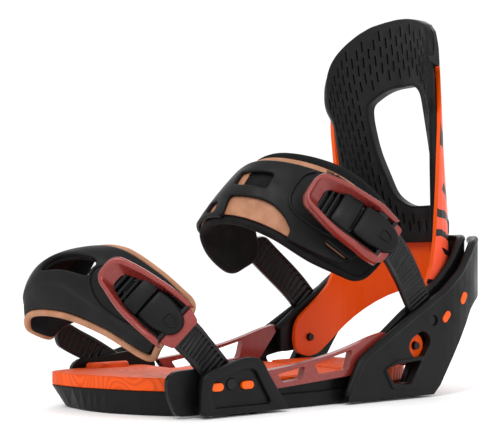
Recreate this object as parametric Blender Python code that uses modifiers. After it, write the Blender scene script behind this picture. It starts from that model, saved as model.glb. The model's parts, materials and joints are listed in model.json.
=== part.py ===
"""Strap-in snowboard binding, left foot.

Blender 4.5 script, metres, +Z up. The foot points to -Y (toe) and the heel is at +Y. The outer side of the
foot, which has the ladders and the ratchet buckles, is +X. The origin is the centre of the bottom face of
the mounting disc, on the board's top surface.
"""

import math

import bmesh
import bpy
import numpy as np
from mathutils import Matrix, Vector

mm = 0.001
gap = 0.3 * mm

# Driving dimensions
foot_half_width = 45 * mm
chassis_half_width = 51 * mm
chassis_floor = 8 * mm
rail_inner_x = 49.5 * mm
rail_thickness = 5 * mm
toe_block_outer_x = 59 * mm
disc_radius = 46 * mm
disc_thickness = 6 * mm
disc_screw_offset = 20 * mm

hoop_inner_x = 47 * mm
hoop_thickness = 4 * mm
hoop_back_y = 157 * mm
panel_inner_x = 55 * mm
panel_thickness = 4.5 * mm
strap_plane_x = 52.9 * mm
strap_thickness = 3.2 * mm

highback_pivot = Vector((0, 84 * mm, 31 * mm))
highback_thickness = 3 * mm
highback_pad_thickness = 4.5 * mm
ankle_pin = Vector((0, 96 * mm, 46 * mm))
toe_pin = Vector((0, -58 * mm, 17 * mm))

ladder_width = 20 * mm
toe_ladder_width = 18 * mm
screw_bit = 3 * mm

# Colours, linear, with roughness and metallic value
finishes = {
    "black_nylon": ((0.012, 0.012, 0.013), 0.45, 0.0),
    "soft_black": ((0.02, 0.02, 0.021), 0.75, 0.0),
    "orange": ((0.85, 0.10, 0.004), 0.45, 0.0),
    "orange_foam": ((0.80, 0.10, 0.006), 0.7, 0.0),
    "red_metal": ((0.25, 0.022, 0.015), 0.35, 0.8),
    "tan_leather": ((0.42, 0.17, 0.07), 0.7, 0.0),
    "steel": ((0.45, 0.45, 0.46), 0.3, 1.0),
}


# ---------------------------------------------------------------- helpers


def clear_scene():
    for obj in list(bpy.data.objects):
        bpy.data.objects.remove(obj, do_unlink=True)


def new_collection(name):
    collection = bpy.data.collections.new(name)
    bpy.context.scene.collection.children.link(collection)
    return collection


def paint(obj, finish):
    """Gives the object a material of its own in one of the finishes."""
    colour, roughness, metallic = finishes[finish]
    material = bpy.data.materials.new(obj.name)
    material.use_nodes = True
    shader = material.node_tree.nodes["Principled BSDF"]
    shader.inputs["Base Color"].default_value = (*colour, 1)
    shader.inputs["Roughness"].default_value = roughness
    shader.inputs["Metallic"].default_value = metallic
    obj.data.materials.clear()
    obj.data.materials.append(material)


def add(name, mesh, finish, parent=None, smooth=True):
    """A node: an object in the binding's collection, with its material, under its joint's empty."""
    obj = bpy.data.objects.new(name, mesh)
    parts.objects.link(obj)
    paint(obj, finish)
    if smooth:
        mesh.shade_smooth()
        mesh.set_sharp_from_angle(angle=math.radians(35))
    if parent is not None:
        obj.parent = parent
        obj.matrix_parent_inverse = parent.matrix_world.inverted()
    return obj


def add_cutter(name, mesh):
    obj = bpy.data.objects.new(name, mesh)
    cutters.objects.link(obj)
    obj.hide_render = True
    obj.display_type = "WIRE"
    return obj


def joint_empty(name, place, turn=None):
    """An empty on a joint's axis. Its X axis is the hinge line."""
    empty = bpy.data.objects.new(name, None)
    empty.empty_display_size = 0.02
    parts.objects.link(empty)
    empty.matrix_world = Matrix.Translation(place) @ (turn or Matrix.Identity(4))
    bpy.context.view_layer.update()
    return empty


def mesh_from(build, name):
    bm = bmesh.new()
    build(bm)
    bmesh.ops.recalc_face_normals(bm, faces=bm.faces)
    mesh = bpy.data.meshes.new(name)
    bm.to_mesh(mesh)
    bm.free()
    return mesh


def box_mesh(name, low, high):
    """An upright box between two corners."""
    low, high = Vector(low), Vector(high)

    def build(bm):
        bmesh.ops.create_cube(bm, size=1)
        bmesh.ops.scale(bm, vec=high - low, verts=bm.verts)
        bmesh.ops.translate(bm, vec=(low + high) / 2, verts=bm.verts)

    return mesh_from(build, name)


def rod_mesh(name, start, end, radius, end_radius=None, segments=24):
    """A cylinder or cone from start to end."""
    start, end = Vector(start), Vector(end)
    turn = (end - start).to_track_quat("Z", "Y").to_matrix().to_4x4()

    def build(bm):
        bmesh.ops.create_cone(
            bm,
            cap_ends=True,
            segments=segments,
            radius1=radius,
            radius2=radius if end_radius is None else end_radius,
            depth=(end - start).length,
            matrix=Matrix.Translation((start + end) / 2) @ turn,
        )

    return mesh_from(build, name)


def rounded(points, radius, steps=2):
    """The closed outline through the points, with each corner turned into an arc of about this radius.
    A point may carry its own radius as a third value."""
    out = []
    for i, point in enumerate(points):
        here = Vector(point[:2])
        before = Vector(points[i - 1][:2]) - here
        after = Vector(points[(i + 1) % len(points)][:2]) - here
        reach = point[2] if len(point) > 2 else radius
        reach = min(reach, before.length * 0.45, after.length * 0.45)
        if reach <= 0:
            out.append(here)
            continue
        first = here + before.normalized() * reach
        last = here + after.normalized() * reach
        for k in range(steps + 1):
            t = k / steps
            out.append(first * (1 - t) ** 2 + here * 2 * t * (1 - t) + last * t**2)
    return out


def plate_mesh(name, outline, thickness, axis="X", at=0.0):
    """A flat plate: a closed 2D curve, filled and extruded. Axis X reads the outline as (y, z) and puts the
    plate between x = at and x = at + thickness. Axis Z reads it as (x, y), and axis Y as (x, z)."""
    curve = bpy.data.curves.new(name, "CURVE")
    curve.dimensions = "2D"
    curve.fill_mode = "BOTH"
    curve.extrude = thickness / 2
    spline = curve.splines.new("POLY")
    spline.points.add(len(outline) - 1)
    for point, place in zip(spline.points, outline):
        point.co = (place[0], place[1], 0, 1)
    spline.use_cyclic_u = True
    obj = bpy.data.objects.new(name, curve)
    cutters.objects.link(obj)
    bpy.context.view_layer.update()
    mesh = bpy.data.meshes.new_from_object(obj.evaluated_get(bpy.context.evaluated_depsgraph_get()))
    bpy.data.objects.remove(obj, do_unlink=True)
    bpy.data.curves.remove(curve)
    middle = at + thickness / 2
    turns = {
        "X": Matrix(((0, 0, 1, middle), (1, 0, 0, 0), (0, 1, 0, 0), (0, 0, 0, 1))),
        "Y": Matrix(((1, 0, 0, 0), (0, 0, -1, middle), (0, 1, 0, 0), (0, 0, 0, 1))),
        "Z": Matrix(((1, 0, 0, 0), (0, 1, 0, 0), (0, 0, 1, middle), (0, 0, 0, 1))),
    }
    mesh.transform(turns[axis])
    bm = bmesh.new()
    bm.from_mesh(mesh)
    bmesh.ops.remove_doubles(bm, verts=bm.verts, dist=0.01 * mm)
    bmesh.ops.recalc_face_normals(bm, faces=bm.faces)
    bm.to_mesh(mesh)
    bm.free()
    return mesh


def smooth_curve(points, count):
    """Count points along the Catmull-Rom curve through the given ones, evenly spaced by length."""
    points = np.array(points, float)
    ends = np.concatenate([[2 * points[0] - points[1]], points, [2 * points[-1] - points[-2]]])
    fine = []
    for i in range(1, len(ends) - 2):
        t = np.linspace(0, 1, 12, endpoint=False)[:, None]
        p0, p1, p2, p3 = ends[i - 1 : i + 3]
        fine.append(
            0.5
            * (
                2 * p1
                + (p2 - p0) * t
                + (2 * p0 - 5 * p1 + 4 * p2 - p3) * t**2
                + (3 * p1 - p0 - 3 * p2 + p3) * t**3
            )
        )
    fine = np.concatenate([*fine, points[-1:]])
    length = np.concatenate([[0], np.cumsum(np.linalg.norm(np.diff(fine[:, :3], axis=0), axis=1))])
    even = np.linspace(0, length[-1], count)
    return np.stack([np.interp(even, length, column) for column in fine.T], axis=1)


def grid_normals(grid):
    along = np.gradient(grid, axis=0)
    across = np.gradient(grid, axis=1)
    normal = np.cross(along, across)
    return normal / np.linalg.norm(normal, axis=2, keepdims=True)


def shell_mesh(name, near, far):
    """A closed shell between two grids of points."""
    rows, columns = near.shape[:2]
    index = np.arange(rows * columns).reshape(rows, columns)
    quads = np.stack([index[:-1, :-1], index[1:, :-1], index[1:, 1:], index[:-1, 1:]], axis=-1).reshape(-1, 4)
    rim = np.concatenate([index[0, :-1], index[:-1, -1], index[-1, :0:-1], index[:0:-1, 0]])
    after = np.roll(rim, -1)
    walls = np.stack([rim, after, after + index.size, rim + index.size], axis=-1)
    points = np.concatenate([near, far]).reshape(-1, 3)
    mesh = bpy.data.meshes.new(name)
    mesh.from_pydata(points.tolist(), [], np.concatenate([quads, quads[:, ::-1] + index.size, walls]).tolist())
    build = bmesh.new()
    build.from_mesh(mesh)
    bmesh.ops.recalc_face_normals(build, faces=build.faces[:])
    build.to_mesh(mesh)
    build.free()
    return mesh


def sheet_mesh(name, grid, lift, thickness):
    """A shell from the grid's surface moved out by lift to the same surface moved out by thickness more."""
    normals = grid_normals(grid)
    return shell_mesh(name, grid + normals * lift, grid + normals * (lift + thickness))


def sheet(name, grid, lift, thickness, finish, parent=None):
    return add(name, sheet_mesh(name, grid, lift, thickness), finish, parent)


def bevel(obj, width, segments=1, angle=40):
    modifier = obj.modifiers.new("edges", "BEVEL")
    modifier.width = width
    modifier.segments = segments
    modifier.limit_method = "ANGLE"
    modifier.angle_limit = math.radians(angle)
    modifier.harden_normals = False


def cut(obj, cutter):
    modifier = obj.modifiers.new(cutter.name, "BOOLEAN")
    modifier.operation = "DIFFERENCE"
    modifier.object = cutter


def join(obj, other):
    """Unites a hidden helper body with the object."""
    modifier = obj.modifiers.new(other.name, "BOOLEAN")
    modifier.operation = "UNION"
    modifier.object = other


def flip_x(mesh):
    """The inner side's mesh: the outer side's, mirrored across the middle of the foot."""
    twin = mesh.copy()
    twin.transform(Matrix.Diagonal((-1, 1, 1, 1)))
    twin.flip_normals()
    return twin


def in_mm(*points):
    return [tuple(value * mm for value in point) for point in points]


sides = (("outer", 1), ("inner", -1))


# ---------------------------------------------------------------- chassis


def toe_bow():
    """(x, y) of the chassis' front edge, from the inner side to the outer one, which is cut back further."""
    return in_mm((-46, -70), (-46, -94), (-40, -104), (-32, -106.5), (-12, -107), (4, -104), (23, -94), (40, -81), (44, -70))


def make_base_plate():
    side = chassis_half_width / mm
    outline = in_mm((side, -60), (side, 60), (side, 97), (36, 101), (-36, 101), (-side, 97), (-side, 60), (-side, -60))
    outline += in_mm((-44, -69.7), (43, -69.7))
    plate = add(
        "base_plate", plate_mesh("base_plate", rounded(outline, 5 * mm), chassis_floor, "Z"), "black_nylon"
    )
    bevel(plate, 1 * mm)
    for name, sign in sides:
        sill = plate_mesh(
            "sill", rounded(in_mm((-20, 4), (-25, 11), (42, 16), (46, 16), (50, 4)), 2 * mm), 2.5 * mm, "X", 46.7 * mm
        )
        join(plate, add_cutter(f"{name}_sill", sill if sign > 0 else flip_x(sill)))
    hole = add_cutter(
        "disc_hole", rod_mesh("disc_hole", (0, 0, -mm), (0, 0, 20 * mm), disc_radius - 4 * mm + gap, segments=32)
    )
    recess = add_cutter(
        "disc_recess",
        rod_mesh("disc_recess", (0, 0, 3 * mm), (0, 0, 20 * mm), disc_radius + gap, segments=32),
    )
    cut(plate, hole)
    cut(plate, recess)


def make_toe_ramp():
    """The ramp under the toes, whose inner front edge leans out over the board."""
    mesh = plate_mesh("toe_ramp", rounded(toe_bow(), 6 * mm), 12.5 * mm, "Z")
    for vertex in mesh.vertices:
        if vertex.co.z > 6 * mm and vertex.co.y < -80 * mm:
            reach = min(max((5 * mm - vertex.co.x) / (40 * mm), 0), 1)
            vertex.co.y -= 9 * mm * reach
    ramp = add("toe_ramp", mesh, "black_nylon")
    bevel(ramp, 1 * mm)


def make_disc():
    disc = add(
        "mounting_disc",
        rod_mesh("mounting_disc", (0, 0, 0), (0, 0, 3 * mm), disc_radius - 4 * mm, segments=32),
        "black_nylon",
    )
    flange = add_cutter(
        "disc_flange",
        rod_mesh("disc_flange", (0, 0, 3 * mm + gap), (0, 0, disc_thickness), disc_radius, segments=32),
    )
    neck = add_cutter("disc_neck", rod_mesh("disc_neck", (0, 0, mm), (0, 0, 5 * mm), 30 * mm, segments=32))
    join(disc, neck)
    join(disc, flange)
    for i, (sx, sy) in enumerate([(1, 1), (1, -1), (-1, 1), (-1, -1)], 1):
        x, y = sx * disc_screw_offset, sy * disc_screw_offset
        hole = add_cutter(f"screw_hole_{i}", rod_mesh("hole", (x, y, -mm), (x, y, 9 * mm), 3.3 * mm, segments=12))
        sink = add_cutter(
            f"screw_sink_{i}", rod_mesh("sink", (x, y, 2.5 * mm), (x, y, 9 * mm), 6.3 * mm, segments=16)
        )
        cut(disc, hole)
        cut(disc, sink)
        head = add(
            f"disc_screw_{i}",
            rod_mesh("head", (x, y, 2.8 * mm), (x, y, 5.6 * mm), 6 * mm, 5 * mm, segments=16),
            "steel",
        )
        shank = add_cutter(f"shank_{i}", rod_mesh("shank", (x, y, 0), (x, y, 4 * mm), 3 * mm, segments=12))
        join(head, shank)
        for turn in (0, math.pi / 2):
            slot = box_mesh("slot", (-4 * mm, -0.6 * mm, 4.2 * mm), (4 * mm, 0.6 * mm, 8 * mm))
            slot.transform(Matrix.Translation((x, y, 0)) @ Matrix.Rotation(turn, 4, "Z"))
            cut(head, add_cutter(f"bit_slot_{i}_{turn > 0:d}", slot))


def make_foot_pads():
    """The orange footbed: toe pad, heel pad and the cover over the disc."""
    toe_outline = [(x, y - 9 * mm * min(max((5 * mm - x) / (40 * mm), 0), 1)) for x, y in toe_bow()[1:-1]]
    toe_outline = in_mm((40, -48), (-45.5, -48)) + [(max(x, -45.5 * mm), y) for x, y in toe_outline]
    toe = add(
        "toe_pad",
        plate_mesh("toe_pad", rounded(toe_outline, 5 * mm), 7.2 * mm, "Z", 12.8 * mm),
        "orange_foam",
    )
    bevel(toe, 1.4 * mm)
    heel_outline = [(-41.5, 47), (41.5, 47), (41.5, 78), (34, 98), (0, 104), (-34, 98), (-41.5, 78)]
    heel = add(
        "heel_pad",
        plate_mesh("heel_pad", rounded(in_mm(*heel_outline), 7 * mm), 9.4 * mm, "Z", 8.3 * mm),
        "orange_foam",
    )
    bevel(heel, 1 * mm)
    half = foot_half_width / mm - 3
    cover_outline = [(-half, -46.4), (half, -46.4), (half, 46.4), (-half, 46.4)]
    cover = add(
        "disc_cover_pad",
        plate_mesh("disc_cover_pad", rounded(in_mm(*cover_outline), 4 * mm), 8.7 * mm, "Z", 8.3 * mm),
        "orange_foam",
    )
    bevel(cover, 1 * mm)


def make_rails():
    outline = rounded(
        in_mm(
            (-33, 22, 1),
            (-25.5, 11.8, 1),
            (42, 16.6, 1),
            (46, 17, 1),
            (50, 22, 2),
            (62, 37, 2),
            (60, 40, 1),
            (50, 38, 6),
            (37, 34, 6),
            (20, 29.5, 10),
            (-5, 25, 4),
        ),
        2 * mm,
        2,
    )
    front_window = rounded(in_mm((-23, 20), (-3, 23.2), (-5, 16.4), (-19, 15)), 1.2 * mm, 2)
    rear_window = rounded(in_mm((4, 24), (27, 29.5), (33, 31), (30, 19.4), (8, 17.6)), 1.5 * mm, 2)
    for name, sign in sides:
        mesh = plate_mesh("rail", outline, rail_thickness, "X", rail_inner_x)
        rail = add(f"{name}_rail", mesh if sign > 0 else flip_x(mesh), "red_metal")
        for which, window in (("front", front_window), ("rear", rear_window)):
            hole = plate_mesh("window", window, 30 * mm, "X", 38 * mm)
            cut(rail, add_cutter(f"{name}_rail_{which}_window", hole if sign > 0 else flip_x(hole)))
        bevel(rail, 0.5 * mm)


def make_toe_blocks():
    """A block on each side of the toe. The strap's end sits in the slot between its two walls."""
    outer_wall = rounded(in_mm((-78, 16), (-76, 23), (-48, 30.5), (-39, 29), (-34, 21), (-20, 1), (-75, 1)), 3 * mm)
    inner_wall = rounded(
        in_mm((-94, 12), (-95, 21), (-90, 25), (-78, 25.5), (-48, 29), (-40, 27), (-36, 20), (-36, 8.6), (-70, 8.6), (-72, 1), (-89, 1)),
        3 * mm,
    )
    recess = rounded(in_mm((-73, 14), (-71, 20), (-49, 26), (-43, 25), (-31, 5), (-70, 5)), 3 * mm)
    for name, sign in sides:
        mesh = plate_mesh("block", outer_wall, 4 * mm, "X", toe_block_outer_x - 4 * mm)
        block = add(f"{name}_toe_block", mesh if sign > 0 else flip_x(mesh), "black_nylon")
        wall = plate_mesh("wall", inner_wall, 3.1 * mm, "X", 47.9 * mm)
        join(block, add_cutter(f"{name}_toe_wall", wall if sign > 0 else flip_x(wall)))
        web = plate_mesh(
            "web", rounded(in_mm((-76, 1), (-76, 5.4), (-33, 5.4), (-24, 1)), mm), 6.4 * mm, "X", 51 * mm
        )
        join(block, add_cutter(f"{name}_toe_web", web if sign > 0 else flip_x(web)))
        link = plate_mesh("link", rounded(in_mm((-44.5, 9), (-44.5, 24), (-40, 24), (-37, 9)), mm), 9 * mm, "X", 48 * mm)
        join(block, add_cutter(f"{name}_toe_link", link if sign > 0 else flip_x(link)))
        dish = plate_mesh("dish", recess, 4 * mm, "X", toe_block_outer_x - 1.2 * mm)
        cut(block, add_cutter(f"{name}_toe_dish", dish if sign > 0 else flip_x(dish)))
        for which, y in (("front", -68), ("rear", -47.5)):
            pin = oval_pin(f"{name}_toe_pin_{which}", y * mm, 16 * mm, 0, 55.3 * mm, 59.4 * mm, sign)
            room = oval_mesh("room", y * mm, 16 * mm, 0, 55 * mm, 62 * mm, gap)
            cut(block, add_cutter(f"{pin.name}_seat", room if sign > 0 else flip_x(room)))


def oval_mesh(name, y, z, tilt, x0, x1, grow=0.0):
    """A short bar with a slot-shaped section, along X. Tilt is in degrees, from lying along Y."""
    half_length = 1.9 * mm
    radius = 2.2 * mm + grow
    outline = []
    for centre, start in ((half_length, -90), (-half_length, 90)):
        for k in range(7):
            angle = math.radians(start + 30 * k)
            outline.append(Vector((centre + radius * math.cos(angle), radius * math.sin(angle))))
    turn = Matrix.Rotation(math.radians(tilt), 2)
    outline = [turn @ point + Vector((y, z)) for point in outline]
    return plate_mesh(name, outline, x1 - x0, "X", x0)


def oval_pin(name, y, z, tilt, x0, x1, sign):
    mesh = oval_mesh(name, y, z, tilt, x0, x1)
    pin = add(name, mesh if sign > 0 else flip_x(mesh), "orange")
    bevel(pin, 0.6 * mm)
    return pin


# ---------------------------------------------------------------- heel hoop


def hoop_path(offset, count=33):
    """Plan of the hoop's inner face, moved out by offset: (x, y) from the outer side round the heel."""
    side, back = hoop_inner_x / mm, hoop_back_y / mm
    half = [(side, 62.3, 0), (side, 78, 0), (side, 98, 0), (side - 0.3, 114, 0), (side - 2.5, 126, 0)]
    half += [(side - 7.5, 138, 0), (side - 17, 148.5, 0), (side - 30, back - 1.5, 0), (0, back, 0)]
    whole = half + [(-x, y, 0) for x, y, _ in reversed(half[:-1])]
    path = smooth_curve(in_mm(*whole), count)[:, :2]
    run = np.gradient(path, axis=0)
    run /= np.linalg.norm(run, axis=1, keepdims=True)
    return path + np.stack([run[:, 1], -run[:, 0]], axis=1) * offset


def along_y(value, pairs):
    return np.interp(value, [p[0] * mm for p in pairs], [p[1] * mm for p in pairs])


def make_hoop():
    """The hoop: an upright band round the heel, low and deep at the sides and high at the back."""
    path = hoop_path(0)
    low = along_y(path[:, 1], [(62, 8.6), (96, 8.6), (118, 40), (132, 57), (150, 64)])
    high = along_y(path[:, 1], [(62, 39), (79, 51), (95, 61), (110, 71), (125, 84), (138, 97), (150, 98)])
    steps = np.linspace(0, 1, 3)
    grid = np.empty((len(path), len(steps), 3))
    grid[:, :, :2] = path[:, None, :]
    grid[:, :, 2] = low[:, None] * (1 - steps) + high[:, None] * steps
    hoop = sheet("heel_hoop", grid, 0, hoop_thickness, "black_nylon")
    for name, sign in sides:
        hole = rod_mesh("hole", (40 * mm, *highback_pivot.yz), (56 * mm, *highback_pivot.yz), 10.6 * mm, segments=28)
        cut(hoop, add_cutter(f"{name}_hoop_pivot_hole", hole if sign > 0 else flip_x(hole)))


def panel_grid():
    """The outer face of a heel panel: it follows the hoop from the rail to just past the rear corner."""
    offset = panel_inner_x - hoop_inner_x
    path = hoop_path(offset, 45)
    front = np.array([[panel_inner_x, y * mm] for y in (26, 32, 38, 44)])
    path = np.concatenate([front, path[path[:, 0] > 27 * mm]])
    low = along_y(path[:, 1], [(26, 1), (98, 1), (134, 55), (160, 64)])
    high = along_y(path[:, 1], [(26, 4), (38, 26), (44, 29.5), (80, 50), (106, 64), (122, 76), (140, 94), (150, 97)])
    steps = np.linspace(0, 1, 3)
    grid = np.empty((len(path), len(steps), 3))
    grid[:, :, :2] = path[:, None, :]
    grid[:, :, 2] = low[:, None] * (1 - steps) + high[:, None] * steps
    return grid


def make_heel_panels():
    """The outer and inner heel panels: they carry the rails' rear ends, the highback and the ankle strap."""
    shape = sheet_mesh("panel", panel_grid(), 0, panel_thickness)
    window = rounded(in_mm((56, 19), (66, 21), (85, 22.5), (76, 8.6), (62, 8.6)), 2 * mm, 2)
    hoop_window = rounded(in_mm((55, 23), (66, 22), (86, 23.5), (77, 4), (55, 4)), 2 * mm, 2)
    teardrop = rounded(in_mm((74, 31), (77, 36), (86, 40.5), (91.5, 38), (93.5, 33), (86, 22.8), (78, 24)), 3 * mm, 2)
    for name, sign in sides:
        panel = add(f"{name}_heel_panel", shape if sign > 0 else flip_x(shape), "black_nylon")
        for which, outline in (("window", window), ("teardrop", teardrop)):
            hole = plate_mesh(which, outline, 30 * mm, "X", 40 * mm)
            cutter = add_cutter(f"{name}_panel_{which}", hole if sign > 0 else flip_x(hole))
            cut(panel, cutter)
        hole = plate_mesh("hoop_window", hoop_window, 30 * mm, "X", 40 * mm)
        hole = add_cutter(f"{name}_hoop_window", hole if sign > 0 else flip_x(hole))
        cut(bpy.data.objects["heel_hoop"], hole)
        make_heel_pin(name, sign, "lower", 107, 48, 48, 59.2, panel)
        make_heel_pin(name, sign, "upper", 124, 59, 62, 57.6, panel)


def make_heel_pin(name, sign, which, y, z, tilt, outer, panel):
    pin = oval_pin(f"{name}_heel_pin_{which}", y * mm, z * mm, tilt, (outer - 3.9) * mm, (outer + 0.8) * mm, sign)
    room = oval_mesh("room", y * mm, z * mm, tilt, (outer - 4.2) * mm, 70 * mm, gap)
    cut(panel, add_cutter(f"{pin.name}_seat", room if sign > 0 else flip_x(room)))


# ---------------------------------------------------------------- highback


def highback_band(low, high, rows, ahead, inset):
    """A band from height low to high, inset from the highback's foot side. In plan, it is straight for the
    distances in ahead beside the ankle and then half an ellipse, which gets wider and shallower with height."""
    heights = [15, 70, 105, 140, 175, 205, 245]
    edge_y = [107, 108, 108.5, 107.5, 105.5, 103, 101]
    spine_y = [145, 146, 145, 136, 128, 121, 115]
    z = np.linspace(low, high, rows)
    reaches = [0, 0.07, 0.15, 0.25, 0.36, 0.48, 0.61, 0.74, 0.87, 1]

    def half(widths, side):
        grid = []
        for reach in [-distance for distance in ahead] + reaches:
            width = along_y(z, list(zip(heights, widths))) - inset
            front = along_y(z, list(zip(heights, edge_y)))
            back = along_y(z, list(zip(heights, spine_y))) - inset
            angle = max(reach, 0) * math.pi / 2
            y = front + (back - front) * math.sin(angle) + min(reach, 0)
            grid.append(np.stack([side * width * math.cos(angle), y, z], axis=1))
        return np.array(grid)

    lobe = hoop_inner_x / mm - 4
    outer = half([lobe, lobe, 44, 46, 49, 51, 51], 1)
    inner = half([lobe, lobe, 44.5, 47, 52, 54.5, 55], -1)
    return np.concatenate([inner[:-1], outer[::-1]])


def keep(obj, *outlines):
    """Keeps only what lies inside each outline, given as name, axis and points, seen along that axis."""
    for name, axis, points in outlines:
        body = plate_mesh(name, points, 400 * mm, axis, -200 * mm)
        modifier = obj.modifiers.new(name, "BOOLEAN")
        modifier.operation = "INTERSECT"
        modifier.object = add_cutter(f"{obj.name}_{name}", body)


def make_highback(parent):
    near, far = (highback_band(16 * mm, 242 * mm, 13, (42 * mm, 26 * mm, 12 * mm), -lift) for lift in (0, highback_thickness))
    shell = add("highback_shell", shell_mesh("highback_shell", near, far), "orange", parent)
    lobe = [(71, 30), (72.5, 23), (76, 20), (84, 18), (92, 20), (99, 25), (108, 32), (147, 65), (170, 84)]
    upright = [(112, 201), (111.5, 170), (112, 130), (111, 95), (108, 78), (102, 66), (92, 57), (84, 51), (76, 45), (72, 39)]
    side_view = rounded(in_mm(*lobe, (170, 250), (96, 250), (100, 206), *upright), 3 * mm, 2)
    crown = [(-52, 208), (-49, 215), (-44, 221), (-36, 227), (-25, 232.5), (-13, 236.5), (0, 237.5)]
    crown += [(12, 238), (23, 237), (33, 234.5), (40, 231), (45.4, 226), (49, 218), (51, 209)]
    front_view = in_mm((-70, 10), (-70, 186), (-54.5, 192), *crown, (51.6, 204), (70, 198), (70, 10))
    keep(shell, ("side", "X", side_view), ("front", "Y", front_view))
    inset = 0.8 * mm
    near, far = (highback_band(80 * mm, 242 * mm, 10, [], depth) for depth in (inset, inset + highback_pad_thickness))
    pad = add("highback_pad", shell_mesh("highback_pad", near, far), "soft_black", parent)
    pad_front = in_mm((-70, 94), (-70, 186), (-54.5, 192), *crown, (51.6, 204), (70, 198), (70, 94))
    pad_side = in_mm((170, 94), (170, 250), (96, 250), (97, 183), (111, 176), (113, 150), (116, 120), (116, 94))
    keep(pad, ("side", "X", pad_side), ("front", "Y", pad_front))
    window = rounded(
        in_mm((-26, 177), (-25, 187), (-5, 196), (24, 196), (31, 190), (33, 167), (38.5, 134), (39, 117), (-3, 117), (-15, 125), (-24, 156)),
        4 * mm,
        3,
    )
    hole = add_cutter("highback_window", plate_mesh("window", window, 90 * mm, "Y", 80 * mm))
    cut(shell, hole)
    cut(pad, hole)
    for name, sign in sides:
        centre = highback_pivot.yz
        boss = rod_mesh("boss", (hoop_inner_x - 0.4 * mm, *centre), (panel_inner_x - gap, *centre), 7.9 * mm, segments=18)
        boss = add(f"{name}_pivot_boss", boss if sign > 0 else flip_x(boss), "orange", parent)
        bevel(boss, 0.8 * mm)
        bore = rod_mesh("bore", (38 * mm, *centre), (62 * mm, *centre), 2.7 * mm, segments=12)
        bore = add_cutter(f"{name}_pivot_bore", bore if sign > 0 else flip_x(bore))
        cut(boss, bore)
        cut(shell, bore)
        bolt = rod_mesh("bolt", (41 * mm, *centre), (57 * mm, *centre), 2.2 * mm, segments=12)
        add(f"{name}_pivot_bolt", bolt if sign > 0 else flip_x(bolt), "steel")
    return shell


def make_lean_block(parent):
    """The forward lean stop on the highback's back, which rests on the hoop's upper edge."""
    outline = rounded(in_mm((-14, 98.6), (14, 98.6), (14, 109), (9, 114), (-9, 114), (-14, 109)), 2 * mm)
    block = add("forward_lean_block", plate_mesh("block", outline, 7 * mm, "Y", 151 * mm), "black_nylon", parent)
    bevel(block, 0.8 * mm)
    lever = plate_mesh("lever", rounded(in_mm((-7, 100), (7, 100), (5, 111), (-5, 111)), 2 * mm), 3 * mm, "Y", 158.3 * mm)
    add("forward_lean_lever", lever, "red_metal", parent)


# ---------------------------------------------------------------- straps


def strap_grid(front, rear, along, across, crown):
    """A strap over the foot between its front and rear edge curves, bulging outwards by crown midway."""
    front, rear = smooth_curve(in_mm(*front), along), smooth_curve(in_mm(*rear), along)
    t = np.linspace(0, 1, across)[None, :, None]
    grid = front[:, None, :] * (1 - t) + rear[:, None, :] * t
    return grid + grid_normals(grid) * (crown * 4 * t * (1 - t))


def ribbon(points, sides_across, width):
    """A flat band along points. Sides_across holds the direction across the band at each of them."""
    both = smooth_curve(np.hstack([in_mm(*points), sides_across]), 3 * len(points))
    path, side = both[:, :3], both[:, 3:]
    run = np.gradient(path, axis=0)
    run /= np.linalg.norm(run, axis=1, keepdims=True)
    side = side - run * (side * run).sum(axis=1, keepdims=True)
    side /= np.linalg.norm(side, axis=1, keepdims=True)
    return np.stack([path - side * width / 2, path, path + side * width / 2], axis=1)


ankle_front = [(-46, 14, 76), (-48, 3, 89), (-43, -5, 102), (-28, -7, 109), (-6, -3, 108), (13, 9, 100), (28, 27, 86), (37, 48, 75)]
ankle_rear = [(-48, 44, 90), (-46, 35, 116), (-30, 25, 140), (-9, 25, 149), (11, 38, 147), (27, 56, 138), (36, 74, 122), (39, 82, 108)]


def make_ankle_strap(parent):
    grid = strap_grid(ankle_front, ankle_rear, 25, 7, 3 * mm)
    pad = sheet("ankle_pad", grid, -5 * mm, 5 * mm, "soft_black", parent)
    tan = sheet("ankle_tan_layer", grid[3:-3, 1:-1], gap, 1 * mm, "tan_leather", parent)
    shell = sheet("ankle_exoskeleton", grid[2:-2, 2:-2], 1 * mm + 2 * gap, 2.4 * mm, "black_nylon", parent)
    band = ribbon(
        [(-51.5, 42, 94), (-52.9, 55, 84), (-52.9, 78, 65), (-52.9, 96, 46), (-52.9, 101, 40)],
        [(0, 0.65, 0.75)] * 5,
        ladder_width,
    )
    connector = sheet("ankle_connector", band, -strap_thickness / 2, strap_thickness, "black_nylon", parent)
    return pad, tan, shell, connector


toe_front = [(-46, -112, 38), (-47, -125, 45), (-36, -127, 52), (-15, -119, 51), (5, -106, 42.6), (25, -95, 31), (35, -91, 29)]
toe_middle = [(-47, -104, 46), (-46, -123, 62), (-33, -128, 76), (-13, -122, 80), (6, -111, 74), (24, -98, 62), (36, -88, 50)]
toe_rear = [(-46, -94, 50), (-44, -101, 70), (-30, -104, 86), (-10, -101, 91), (8, -93, 90), (24, -81, 78), (36, -71.5, 65)]


def make_toe_strap(parent):
    front, middle, rear = (smooth_curve(in_mm(*edge), 19) for edge in (toe_front, toe_middle, toe_rear))
    t = np.linspace(0, 1, 7)[None, :, None]
    grid = front[:, None] * (1 - t) * (1 - 2 * t) + middle[:, None] * 4 * t * (1 - t) + rear[:, None] * t * (2 * t - 1)
    liner = sheet("toe_strap_liner", grid, -4.5 * mm, 1.6 * mm, "tan_leather", parent)
    cap = sheet("toe_cap_shell", grid[1:-1, 1:-1], -2.4 * mm, 2.6 * mm, "soft_black", parent)
    band = ribbon(
        [(-50, -103, 42), (-52, -92, 36), (-52.9, -78, 29), (-52.9, -58, 17), (-52.9, -52.8, 13.2)],
        [(0, 0.5, 0.86)] * 5,
        toe_ladder_width - 3 * mm,
    )
    connector = sheet("toe_connector", band, -strap_thickness / 2, strap_thickness, "black_nylon", parent)
    return liner, cap, connector


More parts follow.
